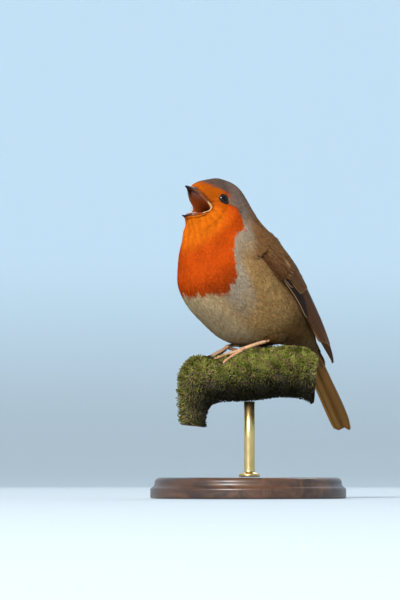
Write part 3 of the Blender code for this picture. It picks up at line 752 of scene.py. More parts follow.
def orange_side(t, a, down, points):
    """Orange, golden on the throat and deep on the forehead, with painted shade low on the breast."""
    golden = smooth(down, 68, 100) * (1 - smooth(t, 2.2, 4.1))
    forehead = (1 - smooth(t, 1.6, 3.2)) * (1 - smooth(down, 66, 90))
    colour = mix(COLOURS["orange"], COLOURS["gold_orange"], golden)
    colour = mix(colour, COLOURS["deep_orange"], forehead)
    streaks = np.sin(np.degrees(a) * 0.42 + 1.5 * ripple(points, 7.0, 6))
    # The last factor is painted shade that darkens the low breast.
    return colour * ((1.0 + 0.10 * golden * streaks) * (1.0 - 0.48 * smooth(t, 5.3, 6.7)))[..., None]


# --- Tufts ---
# Share of the length, half width and painted shade at a tuft's root, middle and tip: the root,
# which lies under other tufts, is darkest. Then, for 5 or 3 points across, how far each point
# of the tip stands forward in lengths, and its strand's shade.
TUFT_ROWS = np.array((0.0, 0.5, 1.0))
TUFT_WIDTHS = np.array((0.5, 1.0, 0.6))
TUFT_PAINTED_SHADE = np.array((0.72, 0.95, 1.03))
TEETH = {5: np.array((-0.192, 0.016, -0.104, 0.0, -0.224)), 3: np.array((-0.24, 0.0, -0.24))}
STRANDS = {5: np.array((0.90, 1.05, 0.96, 1.06, 0.88)), 3: np.array((0.88, 1.06, 0.92))}
TUFT_HANG, TUFT_SPREAD = 0.3, 0.07      # sag of the sides in half widths, and spread of the shade
PATCH = 0.003                           # side of a tuft's own patch, as a share of the bake map


def scattered(surface, count, t_ends, a_ends, random, density=None):
    """Places spread evenly over a window of a surface: each cell of a grid gets its share of
    them by its area times the density there, and they lie anywhere in their cell.
    """
    rows, columns = 160, 240
    dt, da = (t_ends[1] - t_ends[0]) / rows, (a_ends[1] - a_ends[0]) / columns
    t, a = t_ends[0] + dt * (np.arange(rows)[:, None] + 0.5), a_ends[0] + da * (np.arange(columns) + 0.5)
    place, _, _, per_t, _, per_a = lie(surface, t, a)
    weight = per_t * per_a * (1.0 if density is None else density(place))
    total = np.cumsum(weight.ravel())
    cell = np.searchsorted(total, (np.arange(count) + random.random(count)) / count * total[-1])
    cell = np.minimum(cell, rows * columns - 1)
    return (t_ends[0] + dt * (cell // columns + random.random(count)),
            a_ends[0] + da * (cell % columns + random.random(count)))


def tufts(surface, t, a, length, width, paint, windows, random, sink=0.0, skew=0.0, lift=0.1,
          columns=5, keep=None):
    """Small bent blades with toothed tips that lie along a surface. Gives a shell and its UVs.

    A blade's middle line follows the surface from its root for its length, turned by skew from
    the way t grows. At share s it lies sink * (1 - s)^3 under the surface and lift * s^2 over
    it. Its half width follows TUFT_WIDTHS, and at x of the way to a side it hangs by
    0.3 * half width * x^2. Its map puts it at its root's place in the windows of t and a.
    """
    t, a, length, width, sink, skew, lift = (each[:, None] for each in
                                             alike(t, a, length, width, sink, skew, lift))
    s, x = TUFT_ROWS, np.linspace(-1.0, 1.0, columns)
    _, _, _, per_t, _, per_a = lie(surface, t, a)
    t_s, a_s = t + s * length * np.cos(skew) / per_t, a + s * length * np.sin(skew) / per_a
    place, out, along, _, around, _ = lie(surface, t_s, a_s)
    run = unit(swept(along, around, skew))
    half = width / 2 * TUFT_WIDTHS
    middle = place + out * (lift * s**2 - sink * (1 - s) ** 3)[..., None]
    side = unit(np.cross(run, out))
    if keep is not None:
        kept = keep(middle)
        t, a, length, t_s, a_s, run, side, out, half, middle = (
            each[kept] for each in (t, a, length, t_s, a_s, run, side, out, half, middle))
    count = len(t)
    points = (middle[:, :, None] + side[:, :, None] * (half[..., None] * x)[..., None]
              - out[:, :, None] * (TUFT_HANG * half[..., None] * x**2)[..., None])
    points[:, 2] += run[:, 2, None] * (length * TEETH[columns])[..., None]
    colour = paint(*((each[:, 1] + each[:, 2]) / 2 for each in (t_s, a_s, middle)))
    colour = colour * random.normal(1.0, TUFT_SPREAD, count).clip(0.7, 1.3)[:, None]
    # Painted shade: each tuft is darker towards its root, where it lies under others.
    colours = colour[:, None, None] * (TUFT_PAINTED_SHADE[:, None] * STRANDS[columns])[..., None]
    quads = woven(3, columns, wrap_columns=False) + (np.arange(count) * 3 * columns)[:, None, None]
    (t0, t1), (a0, a1) = windows
    root = np.stack([(a - a0) / (a1 - a0), (t - t0) / (t1 - t0)], -1)
    patch = np.stack(np.broadcast_arrays(x / 2, s[:, None] - 0.5), -1) * PATCH
    uv = np.clip(root[:, None] * (1 - PATCH) + PATCH / 2 + patch, 0.0, 1.0)
    shell = points.reshape(-1, 3), quads.reshape(-1, 4), NO_FACES, colours.reshape(-1, 3)
    return shell, (("OFBake", uv.reshape(-1, 2)),)


def tuft_piece(name, surface, count, ends, random, lengths, widths, paint, sink, skew, lift,
               lean=0.0, room=None, inside=None, side="left", columns=5):
    """A piece of tufts over a window of a surface, with sizes drawn from ranges.

    skew is a mean and a spread, and lean * sin a is added to it. Of the tufts, inside(t, a,
    random) says which stay, and room, a share and an end of t, keeps them within that share of
    the way to the end.
    """
    t, a = scattered(surface, count, *ends, random)
    if inside is not None:
        kept = inside(t, a, random)
        t, a = t[kept], a[kept]
    count = len(t)
    length = random.uniform(*lengths, count)
    if room is not None:
        length = np.minimum(length, room[0] * (room[1] - t) * lie(surface, t, a)[3])
    shell, uvs = tufts(surface, t, a, length, random.uniform(*widths, count), paint, ends, random,
                       sink, random.normal(*skew, count) + lean * np.sin(a),
                       random.uniform(*lift, count), columns)
    make_piece(name, on_side(shell, side), "plumage", uvs)


def graded(first, second, start, end, level, swing, size):
    """Paint from one colour to another between two counts of t, times level + swing * noise."""
    def paint(t, a, points):
        colour = mix(first, second, smooth(t, start, end))
        return colour * (level + swing * ripple(points, size, 9))[..., None]

    return paint


def clear_of_eyes(points):
    """Which tufts, given as (tuft, row, xyz), stay out of the eyes' openings."""
    clear = np.ones(len(points), bool)
    for middle, axis, along, across in EYES.values():
        offset = points - middle
        reach = np.hypot(offset @ along / EYE_OPENING[0], offset @ across / EYE_OPENING[1])
        clear &= ~((reach < 1.08) & (offset @ axis > 0)).any(1)
    return clear


def wing_cover(points):
    """1 in the open, falling to 0.35 for places on the body that a folded wing hides."""
    under = wing(*np.meshgrid(np.linspace(0.5, 8.5, 33), np.linspace(0.12, 0.88, 9))).reshape(-1, 3)
    left = np.concatenate([np.abs(points[..., :1]), points[..., 1:]], -1)
    gap = np.full(points.shape[:-1], 99.0)
    for spot in under:
        gap = np.minimum(gap, ((left - spot) ** 2).sum(-1))
    return 0.35 + 0.65 * smooth(np.sqrt(gap), 2.0, 3.4)


def in_radians(low, high):
    """Two angles in degrees as radians."""
    return low * DEGREE, high * DEGREE


# Name, slot, number, ring counts, degrees, length, width (start, end), lift, spread of skew.
COAT = (
    ("face_feathers", "orange_plumage", 12400, (0.02, 2.9), (-180, 180), (1.4, 3.2), (0.45, 0.92),
     0.22, 0.22),
    ("crown_feathers", "brown_plumage", 8500, (1.9, 4.9), (-84, 84), (2.6, 4.6), (0.65, 1.0),
     0.25, 0.2),
    ("throat_feathers", "orange_plumage", 12000, (1.9, 4.9), (78, 282), (2.6, 5.2), (0.85, 1.2),
     0.35, 0.25),
    ("breast_feathers", "orange_plumage", 12000, (4.5, 7.1), (72, 288), (5.4, 7.2), (1.1, 1.5),
     0.5, 0.22),
    ("mantle_feathers", "brown_plumage", 8000, (4.7, 8.6), (-78, 78), (4.4, 6.2), (1.1, 1.7),
     0.25, 0.18),
    ("belly_feathers", "pale_plumage", 12400, (6.7, 10.4), (72, 288), (7.0, 8.5), (1.2, 1.6),
     0.5, 0.22),
    ("rump_feathers", "brown_plumage", 4500, (8.4, 11.3), (-78, 78), (5.8, 6.5), (1.5, 1.6),
     0.3, 0.2),
    ("vent_feathers", "pale_plumage", 4500, (10.2, 11.4), (72, 288), (6.0, 7.5), (1.4, 1.7),
     0.45, 0.25),
)


def make_coat():
    """The body's feathers, piece by piece. Where a piece starts under the one before it, its
    first feathers are fewer, lie flatter and root deeper.
    """
    for seed, (name, slot, count, t_ends, degrees, lengths, widths, lift, spread) in enumerate(COAT):
        random = np.random.default_rng(100 + seed)
        a_ends = in_radians(*degrees)
        t, a = scattered(body, count, t_ends, a_ends, random, wing_cover)
        share = (t - t_ends[0]) / (t_ends[1] - t_ends[0])
        joint = min(t_ends[0], 1.0)
        kept = share >= joint * random.uniform(0.0, 0.2, count)
        t, a, share = t[kept], a[kept], share[kept]
        count = len(t)
        risen = 1.0 - joint * (1.0 - smooth(share, 0.0, 0.25))
        length = np.interp(share, (0, 1), lengths) * random.uniform(0.8, 1.2, count)
        length = np.minimum(length, 0.85 * (LAST_RING - t) * lie(body, t, a)[3])
        width = np.interp(share, (0, 1), widths) * random.uniform(0.8, 1.25, count)
        shell, uvs = tufts(body, t, a, length, width, markings, (t_ends, a_ends), random,
                           coat_depth(t) * (0.9 - 0.35 * risen), random.normal(0.0, spread, count),
                           random.uniform(-0.3, 0.8, count) * lift * risen, keep=clear_of_eyes)
        make_piece(name, shell, "plumage", uvs)


def coat_depth(t):
    """How deep the feathers stand over the skin."""
    return np.interp(t, np.arange(len(COAT_DEPTH)), COAT_DEPTH)


# --- Skin, with the mouth, the lids and the legs ---
SKIN_COLUMNS = 240


def body_skin():
    """The body's surface moved in by the coat's depth, round the lips, and down the throat.
    Gives a shell, and which of its quads and triangles line the mouth.

    The lips are half circles between the two surfaces, fuller at the corners of the mouth.
    The eyes sit in hollows of 1.8 mm * (1 - eased distance from the eye's axis).
    """
    a = circle(SKIN_COLUMNS)
    t = np.concatenate([np.linspace(LAST_RING, 4.2, 80), np.linspace(4.1, 0.0, 110)])[:, None]
    place, out, along = lie(body, t, a)[:3]
    outer = place - out * coat_depth(t)[..., None]
    for middle, axis, _, _ in EYES.values():
        offset = outer - middle
        height = offset @ axis
        radius = np.linalg.norm(offset - height[..., None] * axis, axis=-1)
        hollow = HOLLOW_DEPTH * (1 - smooth(radius, *HOLLOW_REACH)) * (height > 0)
        outer = outer - axis * hollow[..., None]
    inner = turned(ringed(MOUTH, np.linspace(0.0, 3.0, 40)[:, None], a))
    middle, half = (outer[-1] + inner[0]) / 2, (outer[-1] - inner[0]) / 2
    over = smooth(np.cos(a), 0.0, 0.25)
    fullness = 0.12 + 0.3 * smooth(np.abs(np.sin(a)), 0.7 + 0.19 * over, 0.96 + 0.03 * over)
    phase, fullness = alike(np.linspace(0.0, math.pi, 10)[1:-1, None], fullness)
    lips = swept(half, -along[-1] * fullness[..., None], phase) + middle
    flange = smooth(fullness, 0.2, 0.36) * np.sin(phase) ** 2
    # Painted shade: the outer lips are the face's deep orange at half.
    lip_tone = mix(COLOURS["deep_orange"] * 0.5, COLOURS["mouth_rim"], smooth(phase, 1.2, 2.4))
    depth = alike(shares(40)[:, None], a)[0]
    lining = mix(COLOURS["mouth_rim"], COLOURS["mouth"], smooth(depth, 0.02, 0.35))
    rings = np.concatenate([outer, lips, inner])[None]
    # Painted shade: the skin is the plumage's colours at 0.8, and the lining darkens deep in the throat.
    colours = np.concatenate([markings(*alike(t, a), outer) * 0.8,
                              mix(lip_tone, COLOURS["gape"], flange),
                              mix(lining, COLOURS["throat"], smooth(depth, 0.4, 0.95))])[None]
    shell = closed_tubes(rings, colours, np.stack([outer[0].mean(0), turned(np.array(THROAT_END))]))
    row = np.repeat(np.arange(rings.shape[1] - 1), SKIN_COLUMNS)
    return shell, (row >= len(outer) - 1).astype(int), np.repeat((0, 1), SKIN_COLUMNS)


def lid_shell(side):
    """The bare lids: a wrinkled ring round the eye's opening, of radius 0.21 mm * (1 + 0.1 *
    sin 26 psi), and paler towards its rear corner.
    """
    middle, axis, along, across = EYES[side]
    psi, phase = circle(96)[:, None], circle(10)
    radius = (LID_RADIUS * (1 + 0.10 * np.sin(LID_WRINKLES * psi)))[..., None]
    out = swept(along, across, psi)
    reach = 1 / np.hypot(np.cos(psi) / EYE_OPENING[0], np.sin(psi) / EYE_OPENING[1])
    height = np.sqrt(EYE_RADIUS**2 - reach**2)
    centre = middle + out * (reach + 0.08)[..., None] + axis * (height + 0.02)[..., None]
    rear = smooth(np.cos(psi), 0.82, 0.98) * smooth(np.sin(phase), 0.2, 0.8)
    return ring_shell(centre + radius * swept(out, axis, phase),
                      mix(COLOURS["bare_dark"] * 1.2, COLOURS["white"], rear * 0.5))


# --- Legs: for each toe (along, across, over the bark) of its root, middle and end ---
TOES = {
    "left": (
        ((0.5, -1.0, 1.2), (5.2, -2.7, 0.7), (8.0, -3.1, 0.6)),
        ((-0.6, -0.9, 1.3), (-5.6, -1.8, 0.9), (-9.2, -1.6, 0.65)),
        ((-0.7, 0.0, 1.4), (-7.6, 0.6, 1.0), (-12.8, 1.4, 0.65)),
        ((-0.5, 0.9, 1.3), (-5.4, 3.4, 0.9), (-9.0, 5.4, 0.65)),
    ),
    "right": (
        ((0.6, 0.1, 3.5), (4.4, 0.3, 1.5), (6.0, 0.4, 0.65)),
        ((-0.5, -0.9, 3.6), (-4.9, -2.9, 1.6), (-7.4, -4.2, 0.65)),
        ((-0.7, 0.0, 3.7), (-5.6, 0.3, 2.2), (-8.9, 0.6, 0.65)),
        ((-0.5, 0.9, 3.6), (-4.4, 1.9, 1.7), (-6.6, 1.7, 0.65)),
    ),
}
# Painted shade for each foot's toes: the right foot, in shadow, much darker.
TOE_PAINTED_SHADE = {"left": 0.9, "right": 0.55}
CLAW_LENGTHS, CLAW_RADIUS = (4.6, 3.4, 3.8, 3.2), 0.42


def bark_height(along, across):
    """Height of the top of the branch."""
    rows = eased(BRANCH, np.linspace(0.0, 6.0, 61))
    order = np.argsort(rows[:, 0])
    top, under, depth = (np.interp(along, rows[order, 0], rows[order, i]) for i in (1, 3, 4))
    half = (top - under) / 2
    return top - half * (1.0 - np.sqrt(np.clip(1.0 - (across / depth) ** 2, 0.0, 1.0)))


def scaled_tube(path, radii, plates, tone=1.0):
    """Tube of a leg or toe in overlapping plates: within each, the radius grows by 10% and then
    drops back. The gaps between the plates are darker, and tone is painted shade over it all.
    """
    saw = (shares(len(path)) * plates) % 1.0
    swell = 1.0 + 0.10 * saw - 0.10 * smooth(saw, 0.86, 1.0)
    tones = tone * mix(COLOURS["leg"], COLOURS["leg_gap"], 0.8 * smooth(saw, 0.80, 0.94))
    return closed_tubes(along_path(path, radii * swell, 16)[None], tones[None, :, None])


def leg_shells(side):
    """Shells of a leg's shank, pad and toes, and of its claws."""
    foot, knee = np.array(FEET[side]), np.array(KNEES[side])
    thigh_centre = np.array(THIGH_CENTRE) * (SIGNS[side], 1.0, 1.0)
    f = shares(60)
    shank = eased((foot, (foot + knee) / 2 + (0.0, 0.0, 0.25), knee,
                   knee + (thigh_centre - knee) * 0.8), 3.0 * f)
    skin = [scaled_tube(shank, SHANK_RADIUS * (1.0 + 0.25 * (1 - f) ** 6), 12)]
    polar, around = np.linspace(0.05, 0.95, 14)[:, None] * math.pi, circle(20)
    across, along, up = alike(1.9 * np.cos(polar), 1.3 * np.sin(polar) * np.cos(around),
                              np.sin(polar) * np.sin(around))
    pad = branch_point(along, across, up) - branch_point(0.0, 0.0, 0.0) + foot
    pad = pad + 0.05 * ripple(pad, 1.2, 5)[..., None]
    # Painted shade: the pad under the foot is the leg's colour at 0.8.
    skin.append(closed_tubes(pad[None], COLOURS["leg"] * 0.8))
    along, across = branch_plan(foot)
    claws = []
    for claw_length, reach in zip(CLAW_LENGTHS, TOES[side]):
        at = np.linspace(0.0, 2.0, 40)
        line = eased(reach, at)
        a, c = along + line[:, 0], across + line[:, 1]
        path = branch_point(a, c, bark_height(a, c) + line[:, 2] + 0.05)
        knuckles = 1.0 + 0.16 * bell((at * 1.5 + 0.25) % 1.0, 0.5, 0.16)
        skin.append(scaled_tube(path, np.interp(at, (0, 1, 2), TOE_RADII) * knuckles, 10,
                                TOE_PAINTED_SHADE[side]))
        run = unit((path[-1] - path[-4]) * (1.0, 1.0, 0.0))
        g = shares(18)
        claw = path[-1] + run * (0.1 + claw_length * (g - 0.06))[:, None]
        claw[:, 2] += 0.75 * np.sin(math.pi * g**0.8) - 0.5 * g**3
        thick = CLAW_RADIUS * (1.12 - g) ** 0.8
        claw[:, 2] = np.maximum(claw[:, 2], bark_height(*branch_plan(claw)) + 0.4 * thick)
        tone = mix(COLOURS["pale_horn"], COLOURS["horn"], smooth(g, 0.0, 0.35))
        claws.append(closed_tubes(along_path(claw, thick, 12)[None], tone[None, :, None]))
    return skin, claws


def make_skin():
    """One skin for head, neck, trunk, thighs and legs, and the claws."""
    shell, quad_marks, tri_marks = body_skin()
    place, out = lie(thigh, shares(30)[:, None], circle(40))[:2]
    # Painted shade: the thighs' skin under the feathers is the flanks' colour at half.
    thigh_skin = closed_tubes((place - out * 0.8)[None], COLOURS["flank"] * 0.5)
    extra = [(lid_shell(side), 1) for side in SIDES]
    for side in SIDES:
        skin, claws = leg_shells(side)
        extra += [(on_side(thigh_skin, side), 0), *((each, 2) for each in skin)]
        piece = make_piece("claws_" + side, joined(claws), "horn")
        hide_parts(*(f"claw_{side}_{i}" for i in range(1, 5)))
    marks = [quad_marks, *(np.full(len(each[1]), mark) for each, mark in extra),
             tri_marks, *(np.full(len(each[2]), mark) for each, mark in extra)]
    piece = make_piece("skin", joined([shell, *(each for each, _ in extra)]), "skin mouth leg",
                       marks=np.concatenate(marks))
    legs = [f"{part}_{side}" for part in ("thigh", "tarsus") for side in SIDES]
    toes = [f"toe_{side}_{i}" for side in SIDES for i in range(1, 5)]
    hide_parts("head", "neck", "trunk", *legs, *toes)


# --- Eyes, bill and tongue ---
def make_eyes():
    """Balls whose clear front bulges: radius * (1 + 0.02 * eased step to the front). Their
    colour runs from the pupil to a narrow dark brown iris and a black rim.
    """
    polar, around = alike(shares(42)[1:-1, None] * math.pi, circle(48))
    radius = EYE_RADIUS * (1 + 0.02 * smooth(np.cos(polar), 0.6, 1.0))
    iris = smooth(polar / DEGREE, *IRIS_INNER) * (1 - smooth(polar / DEGREE, *IRIS_OUTER))
    streaks = 0.75 + 0.25 * np.sin(31 * around) * np.sin(17 * around + 1)
    colours = mix(COLOURS["pupil"], COLOURS["iris"], iris * streaks)
    for side in SIDES:
        middle, axis, along, across = EYES[side]
        ring = middle + swept(axis, swept(along, across, around), polar) * radius[..., None]
        piece = make_piece("eyeball_" + side, closed_tubes(ring[None], colours[None]), "eye")
        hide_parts("eye_" + side)


def eye_ring(side):
    """Surface round an eye, from the lids' edge out and down to the head: t goes out from them
    over 1.3 mm, falling by 0.75 t^2 mm, and a goes round.
    """
    middle, axis, along, across = EYES[side]
    rim = math.sqrt(EYE_RADIUS**2 - HOLLOW_REACH[1] ** 2) + 0.12

    def ring(t, a):
        t, a = alike(t, a)
        edge = 1.03 / np.hypot(np.cos(a) / EYE_OPENING[0], np.sin(a) / EYE_OPENING[1])
        return (middle + swept(along, across, a) * (edge + 1.3 * t)[..., None]
                + axis * (rim - 0.75 * t**2)[..., None])

    return ring


def make_eye_rings():
    """Tiny feathers round the lids, in the colour of the head there, paler behind the eye."""
    def paint(t, a, points):
        near = markings(EYE_PLACE[0] + 0.42 * np.cos(a), EYE_PLACE[1] + 0.35 * np.sin(a), points)
        return mix(near, COLOURS["buff"], 0.6 * smooth(np.cos(a), 0.75, 0.97))

    for seed, side in enumerate(SIDES):
        tuft_piece("eye_ring_" + side, eye_ring(side), 900,
                   ((-0.05, 0.75), (-math.pi, math.pi)), np.random.default_rng(40 + seed),
                   (0.7, 1.15), (0.2, 0.36), paint, 0.12, (0.0, 0.2), (0.0, 0.12), lean=0.5,
                   columns=3)


def bill_half(mid_angle, edge, tip, ridge):
    """One half of the bill: the lips' arc drawn out to the tip, and an inner face under it.

    At share f the arc has moved f of the way to the tip, and its width is (1 - f)^BILL_TAPER of
    what it was. The middle is raised by ridge * (1 - |angle| / 0.3) over 0.3 radians, the last
    quarter bends down, and the inner face lies in by a share of the half width that grows with
    f. The upper half has nostrils pressed in.
    """
    upper, arc = mid_angle == 0.0, np.linspace(-edge, edge, 41)
    inner, lips = ringed(MOUTH, 0.0, arc + mid_angle), ringed(BODY, 0.0, arc + mid_angle)
    start = inner + (lips - inner) * 0.85
    f, beside = alike(0.005 + 0.985 * shares(44)[:, None] ** 0.85, np.abs(arc))
    outer = start + (np.array(tip) - start) * f[..., None]
    pinch = (1.0 - f) ** BILL_TAPER
    outer[..., 0] = start[:, 0] * pinch
    crest = ridge * np.clip(1 - beside / 0.3, 0.0, 1.0) * (1 - f) ** 0.5
    outer[..., 2] += (crest - 0.35 * smooth(f, 0.75, 1.0)) * math.cos(mid_angle)
    out = unit(np.cross(np.gradient(outer, axis=0), np.gradient(outer, axis=1)))
    wall = np.abs(start[:, 0]).max() * pinch * (0.04 + 0.4 * f)
    under = outer - out * wall[..., None]
    off = np.hypot((f - NOSTRIL_PLACE[0]) / NOSTRIL_SIZE[0], (beside - NOSTRIL_PLACE[1]) / NOSTRIL_SIZE[1])
    nostril = upper * (1 - smooth(off, 0.55, 1.0))
    outer = outer - out * (0.3 * nostril)[..., None]
    pale = smooth(beside, edge * 0.3, edge * 0.6) * (1 - smooth(f, 0.3, 0.62)) + 0.3 * (1 - f) ** 3
    tone = mix(COLOURS["horn"], COLOURS["pale_horn"], np.clip(pale, 0, 1))
    # Painted shade in the nostrils' openings.
    tone = mix(tone, COLOURS["bare_dark"] * 0.4, nostril)
    lining = COLOURS["mouth_rim"] if upper else COLOURS["flesh"] * 0.7
    inside = mix(lining, COLOURS["horn"], smooth(f, 0.4, 0.85))
    rings = np.concatenate([outer, under[:, ::-1]], 1)
    return closed_tubes(turned(rings)[None], np.concatenate([tone, inside[:, ::-1]], 1)[None])


def chin(t, a):
    """The underside of the lower bill as the body's surface carried on to negative t: the lips'
    ring drawn -t of the way to the tip, its width (1 + t)^BILL_TAPER of what it was.
    """
    t, a = alike(t, a)
    lips = ringed(BODY, 0.0, a)
    point = lips - (np.array(LOWER_BILL_TIP) - lips) * t[..., None]
    point[..., 0] = lips[..., 0] * np.maximum(1 + t, 0.0) ** BILL_TAPER
    return turned(point)


def make_chin():
    """Short feathers that run forward under the lower bill."""
    def inside(t, a, random):
        return np.abs(a - math.pi) < 0.9 + 1.2 * t + random.normal(0.0, 0.08, len(t))

    gold = COLOURS["gold_orange"]
    tuft_piece("chin_feathers", chin, 1100,
               ((-0.5, 0.0), (math.pi - 1.1, math.pi + 1.1)), np.random.default_rng(33), (1.2, 2.0),
               (0.3, 0.5), graded(gold, gold, 0, 1, 0.9, 0.12, 2.0), 0.2, (0.0, 0.15), (0.0, 0.12),
               inside=inside)


def make_bill():
    """Both halves of the bill."""
    for name, mid, edge, tip, ridge in (("upper", 0.0, 1.35, UPPER_BILL_TIP, 0.3),
                                        ("lower", math.pi, 1.25, LOWER_BILL_TIP, 0.15)):
        piece = make_piece(name + "_mandible", bill_half(mid, edge, tip, ridge), "horn")
        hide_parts("bill_" + name)


def make_tongue():
    """A flat tapering tongue, arched by 0.5 mm * sin(pi f), with a groove along its middle."""
    (root_y, root_z), (tip_y, tip_z) = TONGUE
    f, around = alike(shares(26)[:, None], circle(20))
    line_z = root_z + (tip_z - root_z) * f + 0.5 * np.sin(math.pi * f)
    thick = 0.45 * (1.0 - 0.4 * f)
    groove = 0.22 * bell(np.cos(around), 0.0, 0.25) * (np.sin(around) > 0)
    rings = np.stack([1.5 * np.sqrt(1.0 - 0.94 * f**2) * np.cos(around), root_y + (tip_y - root_y) * f,
                      line_z + thick * np.sin(around) - groove], -1)
    tone = mix(COLOURS["flesh"], COLOURS["mouth_rim"], 1 - smooth(f, 0.1, 0.7))
    piece = make_piece("tongue_flesh", closed_tubes(turned(rings)[None], tone[None]), "mouth")
    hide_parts("tongue")


def make_bristles():
    """Thin curved bristles at the corners of the mouth."""
    random = np.random.default_rng(31)
    half = BRISTLE_COUNT // 2
    angle = np.concatenate([random.uniform(52, 100, half), random.uniform(260, 308, half)])
    roots = lie(body, random.uniform(0.05, 0.35, BRISTLE_COUNT), angle * DEGREE)[:3]
    s = shares(9)[:, None]
    bristles = []
    for root, out, back, length in zip(*roots, random.uniform(1.8, 3.4, BRISTLE_COUNT)):
        path = root + (out * (0.75 * s - 0.3 * s**2) + back * (0.75 * s**2 - 0.35 * s)) * length
        tube = along_path(path, BRISTLE_RADIUS * (1.05 - s), 5)
        bristles.append(closed_tubes(tube[None], COLOURS["bare_dark"]))
    make_piece("bristles", joined(bristles), "horn")


# --- Wings and tail ---
VANE_ROWS, VANE_COLUMNS = 16, 12
VANE_THICKNESS, VANE_HANG = 0.13, 0.18  # mm, and sag of the sides in half widths
SHAFT_HEIGHT, SHAFT_WIDTH = 0.10, 0.2   # mm at the root, and in half widths
CELL_MARGIN = 0.06                      # of a feather's own strip of the bake map


def vanes(surface, fan):
    """Closed feather blades lying along a surface. Gives their rings and UVs.

    A fan is rows of (root u, v, tip u, v, width, share at root, share at tip, shaft), one for
    each feather, shaft being where the shaft lies, -1 to 1 from side to side, always on the
    side of the narrow outer web, from which the vane map counts. The half width
    is that of an eased start and an elliptical tip, and the blade hangs by 0.18 of it at its
    sides. It is 0.13 mm thick, and the shaft stands up along it.
    """
    fan = np.asarray(fan, float)
    count = len(fan)
    root_u, root_v, tip_u, tip_v, width, low, high, shaft = fan.T[..., None]
    f = shares(VANE_ROWS)
    share = low + (high - low) * smooth(f, 0.0, 0.8)
    middle, out = lie(lambda u, v: surface(u, v, share), root_u + (tip_u - root_u) * f,
                      root_v + (tip_v - root_v) * f)[:2]
    run = unit(np.gradient(middle, axis=1))
    side = unit(np.cross(out, run))
    length = np.linalg.norm(middle[:, -1] - middle[:, 0], axis=-1)[:, None]
    round_share = np.minimum(1.1 * width / length, 0.5)
    tip = np.clip((f - (1 - round_share)) / round_share, 0.0, 1.0)
    half = width / 2 * (0.45 + 0.55 * smooth(f, 0.0, 0.3)) * np.sqrt(1 - 0.97 * tip**2)
    phase = circle(VANE_COLUMNS)
    across = np.cos(phase)
    stem = SHAFT_HEIGHT * bell(across, shaft, SHAFT_WIDTH) * (np.sin(phase) > 0.1)
    up = (VANE_THICKNESS / 2 * np.sin(phase) + stem[:, None] * (1 - 0.7 * f)[:, None]
          - VANE_HANG * half[..., None] * across**2)
    rings = (middle[:, :, None] + side[:, :, None] * (half[..., None] * across)[..., None]
             + out[:, :, None] * up[..., None])
    web = np.where(across > shaft, (across - shaft) / (1 - shaft), (across - shaft) / (1 + shaft))
    outer = -np.sign(shaft + 1e-9)[..., None]
    web, down, reach, _ = alike(0.5 + 0.5 * outer * web[:, None], f[:, None],
                                (length / 10)[..., None], rings[..., 0])
    cells = 8 * math.ceil(count / 8)
    cell = np.arange(count)[:, None, None] + CELL_MARGIN + (1 - 2 * CELL_MARGIN) * web
    return rings, (("OFBake", with_poles(np.stack([cell / cells, 0.02 + 0.96 * down], -1))),
                   ("vane", with_poles(np.stack([web, down * reach], -1))))


def spread(count, first, last, step=0.0):
    """Feathers evenly between a first and a last, the shares of each step over the one before."""
    f = shares(count)[:, None]
    rows = np.array(first) + (np.array(last) - np.array(first)) * f
    rows[:, 5:7] += step * np.arange(count)[:, None]
    return rows


# Feathers: (u, v) of root and of tip, width, share at root and tip, shaft.
WING_FANS = (
    ("primaries", spread(9, (3.6, 0.86, 7.5, 0.60, 4.2, 0.20, 0.30, -0.35),
                         (4.6, 0.93, 8.95, 0.52, 3.6, 0.10, 0.20, -0.55), -0.01),
     "primary", "primary_fringe"),
    ("secondaries", spread(6, (3.0, 0.80, 6.6, 0.86, 5.0, 0.36, 0.48, -0.3),
                           (2.9, 0.45, 7.3, 0.42, 5.4, 0.46, 0.62, -0.2), 0.0),
     "wing", "wing_fringe"),
    ("tertials", spread(3, (2.7, 0.36, 7.35, 0.20, 5.6, 0.56, 0.70, -0.1),
                        (2.4, 0.12, 5.4, 0.13, 5.2, 0.64, 0.86, -0.05), 0.02),
     "wing", "wing_fringe"),
    ("primary_coverts", spread(6, (2.3, 0.84, 4.5, 0.84, 2.8, 0.6, 0.64, -0.3),
                               (2.3, 0.93, 5.0, 0.93, 2.4, 0.5, 0.56, -0.4), 0.0),
     "primary", "primary_fringe"),
    ("greater_coverts", spread(9, (1.9, 0.86, 3.9, 0.78, 3.6, 0.60, 0.80, -0.2),
                               (1.9, 0.10, 4.3, 0.16, 4.2, 0.66, 0.90, -0.05), 0.01),
     "covert", "wing_fringe"),
    ("alula", spread(3, (1.2, 0.90, 3.3, 0.90, 2.6, 0.60, 0.80, -0.3),
                     (1.1, 0.84, 2.6, 0.84, 2.2, 0.68, 0.86, -0.3), 0.0),
     "primary", "primary_fringe"),
    ("median_coverts", spread(8, (1.5, 0.90, 2.9, 0.84, 3.0, 0.70, 0.92, -0.1),
                              (1.5, 0.08, 3.0, 0.12, 3.4, 0.72, 0.98, -0.05), 0.0),
     "covert", "wing_fringe"),
)
TAIL_FANS = (
    ("tail_feathers", np.concatenate([
        spread(6, (0.9, 0.62, 5.95, 0.62, 5.4, -0.75, -0.85, -0.45),
               (0.9, 0.10, 5.78, 0.16, 6.0, 0.35, 0.55, -0.1)),
        spread(6, (0.9, -0.62, 5.95, -0.62, 5.4, -0.65, -0.75, 0.45),
               (0.9, -0.10, 5.78, -0.16, 6.0, 0.45, 0.75, 0.1))]),
     "tail", "tail_fringe"),
)


